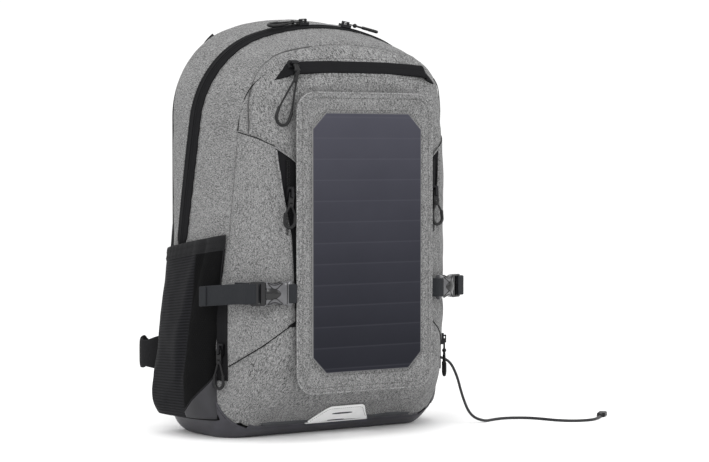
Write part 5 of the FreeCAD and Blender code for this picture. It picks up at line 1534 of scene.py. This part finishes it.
# female buckle halves: a hollow moulded body with a crowned centre and a flared collar
def buckle_female(side, nm):
    rows = []
    S = [17.0, 17.6, 19.0, 21.5, 24.5, 28, 31, 34, 37, 39.5, 41.5, 43.5, 45.2, 46.0]
    def half_h(s):
        if s < 20: return 13.0
        if s < 33: return 13.0 - 2.3 * math.sin(math.pi * (s - 20) / 13.0) ** 0.9
        if s < 39: return 12.6 - 0.6 * (s - 33) / 6
        return 12.0 + 2.0 * sstep(39, 43, s)
    def top_n(s):
        return 12.2 + 1.8 * math.exp(-((s - 25) / 8.5) ** 2) + 2.0 * sstep(38, 43.0, s) - 0.8 * math.exp(-((s - 37) / 2.2) ** 2)
    outer, inner = [], []
    n = 40
    for s in S:
        hh, tn = half_h(s), top_n(s)
        if s in (S[0], S[-1]):
            hh -= 0.8; tn -= 0.7
        ro = []
        for k in range(n):
            a = 2 * math.pi * k / n
            ca, sa = math.cos(a), math.sin(a)
            e = 0.42
            z = hh * math.copysign(abs(ca) ** e, ca)
            mid = (tn + 5.6) / 2
            v = mid + (tn - 5.6) / 2 * math.copysign(abs(sa) ** (0.55), sa)
            if sa > 0:
                # crown: an oval bulge along the middle of the front
                v += 1.35 * math.exp(-(z / 5.2) ** 2) * math.exp(-((s - 23.5) / 9.5) ** 4)
                v -= 0.9 * math.exp(-((abs(z) - 8.6) / 2.0) ** 2) * math.exp(-((s - 27) / 6.5) ** 4)
            ro.append(at(s, min(v, 15.2)) + Vector((0, 0, z)))
        outer.append(ro)
    # mouth: the ring turns in and runs back inside, where the arms lie
    for s, hh, lo_, hi_ in ((17.2, 11.0, 7.0, 12.0), (22.0, 10.6, 7.3, 11.9), (30.0, 10.6, 7.3, 11.9), (38.4, 10.4, 7.3, 11.9)):
        ri = []
        for k in range(n):
            a = 2 * math.pi * k / n
            ca, sa = math.cos(a), math.sin(a)
            z = hh * math.copysign(abs(ca) ** 0.35, ca)
            v = (lo_ + hi_) / 2 + (hi_ - lo_) / 2 * math.copysign(abs(sa) ** 0.4, sa)
            ri.append(at(s, v) + Vector((0, 0, z)))
        inner.append(ri)
    allr = inner[::-1] + outer
    if side > 0:
        allr = [[mirror_x(p) for p in r] for r in allr]
    o = grid("buckle_female_" + nm, allr, BUCKLE, wrap=True, cap_end=True)
    bm = bmesh.new(); bm.from_mesh(o.data); bmesh.ops.recalc_face_normals(bm, faces=bm.faces); bm.to_mesh(o.data); bm.free()
    m = o.modifiers.new("sub", "SUBSURF"); m.levels = m.render_levels = 1
    done(o, "bag_front", "buckle", *(["buckle_females"] if side < 0 else []))
    # dark windows on its edges where the catches press in
    for k in (-1, 1):
        rows = []
        for s in np.linspace(22.5, 33.0, 14):
            q = (s - 27.75) / 5.3
            w = 2.4 * math.sqrt(max(0.03, 1 - q * q))
            row = []
            for a in np.linspace(0, math.pi, 7):
                hh = half_h(s) * 1.0
                p = at(s, 9.6 + w * math.cos(a)) + Vector((0, 0, k * (hh - 0.15 + 0.45 * math.sin(a))))
                row.append(mirror_x(p) if side > 0 else p)
            rows.append(row)
        o = grid("buckle_catch_%s_%s" % (nm, "upper" if k > 0 else "lower"), rows, BUCKLE_D)
        solidify(o, 0.4)
        done(o, "bag_front", "buckle")
    # black bullet-shaped crown that points to the collar, and dark lines of painted shade along the rims of the two
    # side hollows
    def face_n(s, z):
        hh, tn = half_h(s), top_n(s)
        ca = min(0.999, abs(z / hh) ** (1 / 0.42))
        mid = (tn + 5.6) / 2
        v = mid + (tn - 5.6) / 2 * math.sqrt(1 - ca * ca) ** 0.55
        v += 1.35 * math.exp(-(z / 5.2) ** 2) * math.exp(-((s - 23.5) / 9.5) ** 4)
        v -= 0.9 * math.exp(-((abs(z) - 8.6) / 2.0) ** 2) * math.exp(-((s - 27) / 6.5) ** 4)
        return min(v, 15.2)
    def face(s, z, lift):
        p = at(s, face_n(s, z) + lift) + Vector((0, 0, z))
        return mirror_x(p) if side > 0 else p
    rows = []
    for s in np.linspace(17.3, 33.5, 24):
        q = (s - 17.3) / 16.2
        w = 6.6 * max(0.0, 1 - q ** 2.6) ** 0.62 + 0.05
        rows.append([face(s, w * a, 0.35 - 0.5 * abs(a) ** 5) for a in np.linspace(-1, 1, 15)])
    o = grid("buckle_crown_" + nm, rows, BUCKLE_C)
    solidify(o, 0.3)
    done(o, "bag_front", "buckle")
    for k in (-1, 1):
        S2 = np.linspace(18.6, 35.5, 22)
        up_ = [(s, k * (half_h(s) - 1.3)) for s in S2]
        lo_ = [(s, k * (half_h(s) - 1.5 - 4.0 * math.sin(math.pi * (s - 18.6) / 16.9) ** 0.8)) for s in S2[::-1]]
        pts = [face(s, z, 0.12) for s, z in up_ + lo_[1:-1]]
        done(tube("buckle_hollow_%s_%s" % (nm, "upper" if k > 0 else "lower"), pts, 0.5, BUCKLE_C, 8, closed=True), "bag_front", "buckle")
    # painted shade: a dark ring drawn in the collar's groove
    ring = [face(40.2, z, 0.08) for z in np.linspace(-11.2, 11.2, 20)]
    done(tube("buckle_collar_groove_shade_" + nm, ring, 0.42, BUCKLE_C, 8), "bag_front", "buckle")
# dark glossy plastic of the crown; the same colour also draws the painted shade lines at the hollows' rims and in the
# collar's groove
BUCKLE_C = plastic("buckle_crown_and_painted_shade", srgb(20, 20, 22), 0.16, 0.04, coat=0.35)
buckle_female(-1, "left")
buckle_female(1, "right")

# ------------------------------------------------------------------ back panel furniture
def superloop(c, ax, out, w, h, n=28, e=0.62, flat=0.0):
    row = []
    for k in range(n):
        a = 2 * math.pi * k / n
        ca, sa = math.cos(a), math.sin(a)
        row.append(c + ax * (w / 2 * math.copysign(abs(ca) ** e, ca)) + out * (h / 2 * math.copysign(abs(sa) ** (e + 0.2), sa)))
    return row
def recalc(o):
    bm = bmesh.new(); bm.from_mesh(o.data); bmesh.ops.recalc_face_normals(bm, faces=bm.faces); bm.to_mesh(o.data); bm.free()
    return o
def puff(o, voxel=0.005, pressure=4.0, cap=0.006, keep=None):
    """Cloth pressure swells a closed pad a little; the points may move cap metres at most."""
    src = o
    me = src.data.copy()
    tmp = bpy.data.objects.new("sim_" + o.name, me)
    sc.collection.objects.link(tmp)
    bpy.context.view_layer.objects.active = tmp
    r = tmp.modifiers.new("remesh", "REMESH")
    r.mode = "VOXEL"
    r.voxel_size = voxel
    dg = bpy.context.evaluated_depsgraph_get()
    me2 = bpy.data.meshes.new_from_object(tmp.evaluated_get(dg))
    tmp.modifiers.clear()
    tmp.data = me2
    rest = np.array([v.co for v in me2.vertices])
    c = tmp.modifiers.new("cloth", "CLOTH")
    st = c.settings
    st.quality = 6
    st.mass = 0.25
    st.tension_stiffness = st.compression_stiffness = st.shear_stiffness = 18
    st.bending_stiffness = 0.6
    st.use_pressure = True
    st.uniform_pressure_force = pressure
    st.effector_weights.gravity = 0
    c.point_cache.frame_start, c.point_cache.frame_end = 1, 20
    for fr_ in range(1, 21):
        sc.frame_set(fr_)
    dg = bpy.context.evaluated_depsgraph_get()
    ev = tmp.evaluated_get(dg)
    got = np.array([v.co for v in ev.data.vertices])
    sc.frame_set(1)
    bpy.data.objects.remove(tmp)
    d = got - rest
    L = np.linalg.norm(d, axis=1, keepdims=True)
    d = d * np.minimum(1.0, cap / np.maximum(L, 1e-9))
    # the fine mesh takes the swelling of the nearest simulated points, so its weave and edges are kept
    from mathutils.kdtree import KDTree
    kd = KDTree(len(rest))
    for i, p in enumerate(rest):
        kd.insert(p, i)
    kd.balance()
    for v in src.data.vertices:
        near = kd.find_n(v.co, 6)
        ws = [1 / (q[2] + 0.001) for q in near]
        dd = sum((d[q[1]] * w for q, w in zip(near, ws)), np.zeros(3)) / sum(ws)
        v.co += Vector(dd)
    return o

# padded back: two long pads of spacer mesh with sewn channels
for side, nm in ((-1, "left"), (1, "right")):
    rows, uv = [], []
    zs = list(np.linspace(70.5, 383.5, 90))
    for z in zs:
        e = min(z - 70, 384 - z)
        inset = 22 - math.sqrt(max(0, 22 ** 2 - (22 - min(e, 22)) ** 2))
        x0, x1 = 14 + inset, 116 - inset
        r, u2 = [], []
        for k in range(41):
            x = x0 + (x1 - x0) * k / 40
            de = min(x - x0, x1 - x, e * 0.9)
            h = 9.3 * (sstep(-2.5, 11, de) * 0.9 + 0.1)
            ch = min(abs(z - q) for q in (148, 227, 306))
            h -= 4.2 * math.exp(-(ch / 5.5) ** 2) * sstep(2, 12, de)
            h += 0.5 * nz((x * side, z, 0), 40, 3)
            r.append(Vector((side * x, 90.6 + max(0.1, h), z))); u2.append((x, z))
        rows.append(r); uv.append(u2)
    o = grid("back_pad_" + nm, rows, AIRMESH, uv)
    orient(o, (0, 0, 225))
    back_face = solidify(o, 1.0)
    done(o, "bag_rear", "back_mesh", *(["back_pads"] if side < 0 else []))
    edge = []
    m = len(rows[0])
    edge = [r[0] for r in rows] + rows[-1][1:] + [r[-1] for r in rows[::-1]][1:] + rows[0][::-1][1:-1]
    edge = [Vector((p.x, 91.2, p.z)) for p in resample(edge, 4.0)]
    done(tube("back_pad_binding_" + nm, edge, 1.5, BINDING, 8, closed=True), "bag_rear", "webbing")

STRAP = [(-71, 95.2, 446, 43, 6), (-76, 101, 430, 53, 9), (-77, 106.5, 405, 57, 12), (-77, 109.5, 380, 60, 13), (-79, 112, 350, 62, 13), (-83, 113.5, 308, 60, 13),
         (-87, 115.5, 262, 59, 13), (-93, 117.5, 208, 55, 12.5), (-101, 119.5, 152, 48, 12), (-106, 120.5, 124, 42, 9)]
def spline5(tab, n):
    P = [np.array(q, float) for q in tab]
    P = [2 * P[0] - P[1]] + P + [2 * P[-1] - P[-2]]
    out = []
    for i in range(1, len(P) - 2):
        for k in range(n):
            t = k / n
            a, b, c, d = P[i - 1], P[i], P[i + 1], P[i + 2]
            out.append(0.5 * ((2 * b) + (c - a) * t + (2 * a - 5 * b + 4 * c - d) * t * t + (3 * b - a - 3 * c + d) * t ** 3))
    out.append(P[-2])
    return out
for side, nm in ((-1, "left"), (1, "right")):
    tab = spline5(STRAP, 9)
    for q in tab:
        k = sstep(385, 440, q[2])
        q[0] += 9 * k
        q[1] -= 1.0 * k
        q[3] -= 10 * k
    rows, uv, frames = [], [], []
    s = 0
    for i, q in enumerate(tab):
        c = Vector(q[:3])
        a, b = Vector(tab[max(0, i - 1)][:3]), Vector(tab[min(len(tab) - 1, i + 1)][:3])
        t = (b - a).normalized()
        ax = Vector((0, 1, 0)).cross(t).normalized()
        out = t.cross(ax).normalized()
        if out.y < 0:
            out = -out
        if ax.x < 0:
            ax = -ax
        if side > 0:
            c, ax, out, t = mirror_x(c), mirror_x(ax), mirror_x(out), mirror_x(t)
        end = min(1.0, 0.72 + 0.28 * sstep(0, 3, i), 0.75 + 0.25 * sstep(0, 3, len(tab) - 1 - i))
        loop = superloop(c, ax, out, (q[3] - 1.5) * end, (q[4] - 1.6) * end, 32)
        loop = [p + (p - c).normalized() * (0.35 * nz(p, 24, 13)) for p in loop]
        rows.append(loop)
        if i:
            s += (c - frames[-1][0]).length
        frames.append((c, ax, out, q[3], q[4]))
        uv.append([(k / 32 * 130, s) for k in range(32)])
    o = grid("shoulder_strap_" + nm, rows, AIRMESH, uv, wrap=True, cap_end=True)
    recalc(o)
    puff(o, 0.006, 3.0, 0.0012)
    done(o, "bag_rear", "back_mesh", *(["shoulder_straps"] if side < 0 else []))
    # bound edges
    for k, en in ((-1, "inner"), (1, "outer")):
        pts = [c + ax * (k * (w / 2 - 1.0)) for c, ax, out, w, h in frames[1:-1]]
        done(tube("strap_binding_%s_%s" % (nm, en), pts, 2.1, BINDING, 8), "bag_rear", "webbing")
    # a webbing sewn down the middle of the outer face
    path = [(c + out * (h / 2 - 0.7), out, ax) for c, ax, out, w, h in frames[4:-1]]
    o = ribbon("strap_face_webbing_" + nm, path, 25, 1.4, WEB)
    done(o, "bag_rear", "webbing")
    for zc in (330, 235):
        tri = [f_ for f_ in frames if abs(f_[0].z - zc) < 6]
        c, ax, out, w, h = tri[0]
        pts = [c + ax * a + out * (h / 2 + 0.9) for a in np.linspace(-12, 12, 16)]
        stitches("strap_bartack_%s_%d" % (nm, zc), pts, THREAD_D, "bag_rear", "webbing", lambda c_, o_=out: o_, pitch=1.4, length=2.2, r=0.5)
    # short webbing from the end of the strap into its adjuster
    ends = [Vector((-104.9, 121.6, 131.0)), Vector((-105.9, 121.6, 124.0)), Vector((-106.6, 121.4, 119.0)), Vector((-107.1, 121.3, 114.5))]
    path = []
    for i, p in enumerate(ends):
        t = (ends[min(3, i + 1)] - ends[max(0, i - 1)]).normalized()
        ax = Vector((0, 1, 0)).cross(t).normalized()
        n = t.cross(ax).normalized()
        if n.y < 0:
            n = -n
        if side > 0:
            p, n, ax = mirror_x(p), mirror_x(n), mirror_x(ax)
        path.append((p - n * 0.8, n, ax))
    o = ribbon("strap_joining_webbing_" + nm, path, 25, 1.5, WEB)
    done(o, "bag_rear", "webbing")
    # adjuster webbing below the ladder lock
    A, B = Vector((-109.8, 121.4, 98.4)), Vector((-119.0, 93.5, 34))
    pts = [A, A.lerp(B, 0.3) + Vector((0, 1.6, 0)), A.lerp(B, 0.65) + Vector((0, 1.4, 0)), B]
    lp = resample(smooth_line(pts, 6), 2.0)
    path = []
    for i, p in enumerate(lp):
        a, b = lp[max(0, i - 1)], lp[min(len(lp) - 1, i + 1)]
        t = (b - a).normalized()
        ax = Vector((0, 1, 0)).cross(t).normalized()
        n = t.cross(ax).normalized()
        if n.y < 0:
            n = -n
        if side > 0:
            p, n, ax = mirror_x(p), mirror_x(n), mirror_x(ax)
        path.append((p - n * 0.7, n, ax))
    o = ribbon("strap_webbing_" + nm, path, 25, 1.5, WEB)
    done(o, "bag_rear", "webbing", *(["strap_webbings"] if side < 0 else []))
    # hip tab: a padded loop that curls round behind the pocket
    hb = [(-117.8, 91.9), (-128, 92.3), (-139, 96.0), (-150, 100.2), (-158.5, 106.8), (-161.6, 115), (-157.0, 123.4), (-147.2, 126.9)]
    hl = resample(smooth_line([(x, y, 90.5 - 4.0 * sstep(0, 1, (-130 - x) / 30.0)) for x, y in hb], 8), 2.0)
    rows, uv = [], []
    s = 0
    for i, p in enumerate(hl):
        a, b = hl[max(0, i - 1)], hl[min(len(hl) - 1, i + 1)]
        t = (b - a).normalized()
        n = Vector((t.y, -t.x, 0))
        p = Vector(p)
        if side > 0:
            p, n = mirror_x(p), mirror_x(n)
        if i:
            s += 2.0
        e = min(1.0, 0.7 + 0.3 * sstep(0, 3, len(hl) - 1 - i))
        th = 3.0 if s < 24 else 4.6
        q_ = abs(s - 50) / 12.0
        hgt = 38.5 - 8.5 * math.exp(-q_ * q_)
        loop = superloop(p, UPZ, n, hgt * e, th * e, 24, 0.45)
        rows.append(loop); uv.append([(k / 24 * 84, s) for k in range(24)])
    o = grid("hip_tab_" + nm, rows, HEM, uv, wrap=True, cap_end=True)
    recalc(o)
    done(o, "bag_rear", "webbing", *(["hip_belt_tabs"] if side < 0 else []))
# grab handle: webbing rolled round a cord between its sewn feet
hp = [(-44, 96.6, 440), (-39, 98.0, 451), (-23, 99.5, 460.5), (0, 100, 463.5), (23, 99.5, 460.5), (39, 98, 451), (44, 96.6, 440)]
hl = resample(smooth_line(hp, 8), 2.5)
rows, uv = [], []
s = 0
for i, p in enumerate(hl):
    a, b = hl[max(0, i - 1)], hl[min(len(hl) - 1, i + 1)]
    t = (b - a).normalized()
    ax = Vector((0, 1, 0))
    n = t.cross(ax).normalized()
    k = sstep(0, 10, min(i, len(hl) - 1 - i))
    loop = superloop(p, ax, n, 12.0 - 2.5 * k, 2.6 + 2.2 * k, 24, 0.6 + 0.3 * k)
    if i:
        s += 2.5
    rows.append(loop); uv.append([(q / 24 * 34, s) for q in range(24)])
o = grid("grab_handle_webbing", rows, WEB, uv, wrap=True, cap_end=True)
recalc(o)
done(o, "bag_rear", "webbing", "grab_handle")
# cover flap over the strap roots on the back panel
rows, uv = [], []
for z in np.linspace(398, 428, 16):
    r, u2 = [], []
    half = 112 - max(0, (z - 404)) * 0.55
    for x in np.linspace(-half, half, 60):
        near = min(abs(abs(x) - 76), 40)
        y = 91.4 + 0.4 * nz((x, z, 0), 20) - 0.2 * sstep(426, 430, z)
        r.append(Vector((x, y, z))); u2.append((x + 200, z))
    rows.append(r); uv.append(u2)
o = grid("strap_yoke", rows, HEM, uv)
orient(o, (0, 0, 300))
solidify(o, 0.8)
done(o, "bag_rear", "back_mesh")

# ------------------------------------------------------------------ inside: lining divider and laptop sleeve
def inner_sheet(name, x0, x1, y, z0, z1, body, node, bow=1.0, amp=1.2, notch=None, rim=None):
    rows, uv = [], []
    nx_, nz2 = 60, 80
    for j in range(nz2 + 1):
        z = z0 + (z1 - z0) * j / nz2
        r, u2 = [], []
        a = x1
        if rim is None:
            aa, zb, rb, zs, rc, th, R2, cz2, L = outline(y)
            # half width of the form at this height, less the wall
            if z > zs:
                dz = z - zs
                if dz < rc * math.sin(th):
                    a = aa - rc + math.sqrt(max(0, rc * rc - dz * dz)) - 5
                else:
                    a = math.sqrt(max(0, R2 * R2 - (z - cz2) ** 2)) - 5
            elif z < zb + rb:
                dz = zb + rb - z
                a = aa - rb + math.sqrt(max(0, rb * rb - min(dz, rb) ** 2)) - 5
            else:
                a = aa - 5
        for k in range(nx_ + 1):
            x = -a + 2 * a * k / nx_
            r.append(Vector((x, y + amp * nz((x, z, 0), 50, 19), z))); u2.append((x + 200, z))
        rows.append(r); uv.append(u2)
    sk = None
    if notch:
        sk = lambda i, j: all(notch[0] < q.x < notch[1] and notch[2] < q.z < notch[3] for q in (rows[i][j], rows[i][j + 1], rows[i + 1][j], rows[i + 1][j + 1]))
    o = grid(name, rows, LINING, uv, skip=sk)
    tidy(o)
    solidify(o, 1.2)
    done(o, body, "lining", node)
    return o
inner_sheet("front_lining_cloth", -130, 130, -43, 14, 424, "bag_front", "front_lining", notch=(100, 200, 62, 100))
o = inner_sheet("laptop_sleeve_cloth", -118, 118, 60, 44, 300, "bag_rear", "laptop_sleeve", rim=True, amp=0.8)
done(tube("laptop_sleeve_binding", [(x, 60, 300) for x in np.linspace(-118, 118, 40)], 1.6, BINDING, 8), "bag_rear", "webbing")
for side, nm in ((-1, "left"), (1, "right")):
    rows = [[Vector((side * (118 + 1.5 * nz((0, y, z), 30)), y, z)) for y in np.linspace(60, 79, 8)] for z in np.linspace(44, 300, 40)]
    o = grid("laptop_sleeve_side_" + nm, rows, LINING)
    solidify(o, 1.0)
    done(o, "bag_rear", "lining")

# ------------------------------------------------------------------ folded gussets across the opening
def inner_x(side, y, z, back=2.6):
    p, n = onform((side * 300, y, z), (-side, 0, 0), 0.0)
    return abs(p.x) - back
for side, nm in ((-1, "left"), (1, "right")):
    rows, uv = [], []
    for z in np.linspace(16, 205, 90):
        yc = 25 - 0.22 * (z - 300)
        y0, y1 = yc - 11, min(yc + 11, 86.5)
        xw = min(inner_x(side, y0, z), inner_x(side, y1, z))
        depth = 24.0 * sstep(10, 70, z) + 1.5
        row, uvr = [], []
        for k in range(13):
            t = k / 12
            v = 1 - abs(2 * t - 1)
            v = v * v * (3 - 2 * v) * 0.5 + v * 0.5
            x = xw - depth * v + 0.5 * nz((side * 40, t * 30, z), 22, 3)
            row.append(Vector((side * x, y0 + (y1 - y0) * t, z)))
            uvr.append((t * 54, z))
        rows.append(row); uv.append(uvr)
    o = grid("side_bellows_" + nm, rows, LINING, uv, flip=side < 0)
    solidify(o, 0.8)
    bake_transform(o)

# ------------------------------------------------------------------ moulded heads over the pulls' tabs
def pull_head(name, body, a, b, ax, out, w0, w1, h0, h1, slot="pull_cord"):
    a, b, ax, out = Vector(a), Vector(b), Vector(ax).normalized(), Vector(out).normalized()
    rows = []
    n = 14
    for i in range(n + 1):
        t = i / n
        e = min(1.0, math.sqrt(max(0.02, 1 - (max(0, 0.14 - t) / 0.14) ** 2)), math.sqrt(max(0.02, 1 - (max(0, t - 0.86) / 0.14) ** 2)))
        waist = 1 - 0.22 * math.exp(-((t - 0.45) / 0.2) ** 2)
        rows.append(superloop(a.lerp(b, t), ax, out, (w0 + (w1 - w0) * t) * e * waist, (h0 + (h1 - h0) * t) * e, 20, 0.5))
    o = grid(name, rows, PULLM, wrap=True, cap_end=True)
    recalc(o)
    return done(o, body, slot)
F_O = BQ + BN_ * 0.35 + Vector((-87, 0, 0))
F_P = F_O + BN_ * 4.0
HG = -BD_
pull_head("front_pull_head", "front_zip_slider", F_P + HG * 0.5 + BN_ * 0.6, F_P + HG * 11.5 + BN_ * 0.6, (1, 0, 0), BN_, 6.0, 7.4, 3.0, 3.6)
K_A = F_P + HG * 11.0
G_P = Vector((K_A.x - 2.0, -92.9, (F_P + HG * 12.0).z - 8.0))
pull_head("front_pull_knot", "front_zip_slider", K_A, G_P + Vector((-1.0, 0, -3.0)), (1, 0, 0), (0, -1, 0), 5.2, 4.6, 4.8, 4.2)

# ------------------------------------------------------------------ finish
CAD_MATS = {"base_board": STIFF, "frame_sheet": STIFF, "buckle_male_left": BUCKLE_D, "buckle_male_right": BUCKLE_D, "buckle_females": BUCKLE,
            "laminate_backsheet": BACKSHEET, "solar_cells": CELL, "front_film": FILM, "junction_box": MOULD, "module_studs": STUD, "stud_sockets": STUD,
            "panel_socket": MOULD, "charge_regulator": MOULD, "panel_lead": CABLE, "usb_a_plug": MOULD, "charging_cable_inner": CABLE,
            "usb_plug_overmold": MOULD, "usb_plug_tip": PLUGM, "ladder_locks": BUCKLE_D}
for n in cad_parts:
    if "slider" in n:
        CAD_MATS[n] = METAL
    if "pull" in n:
        CAD_MATS[n] = PULLM
for n, m in CAD_MATS.items():
    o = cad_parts[n]
    if o.hide_render:
        continue
    o.data.materials.clear()
    o.data.materials.append(m)
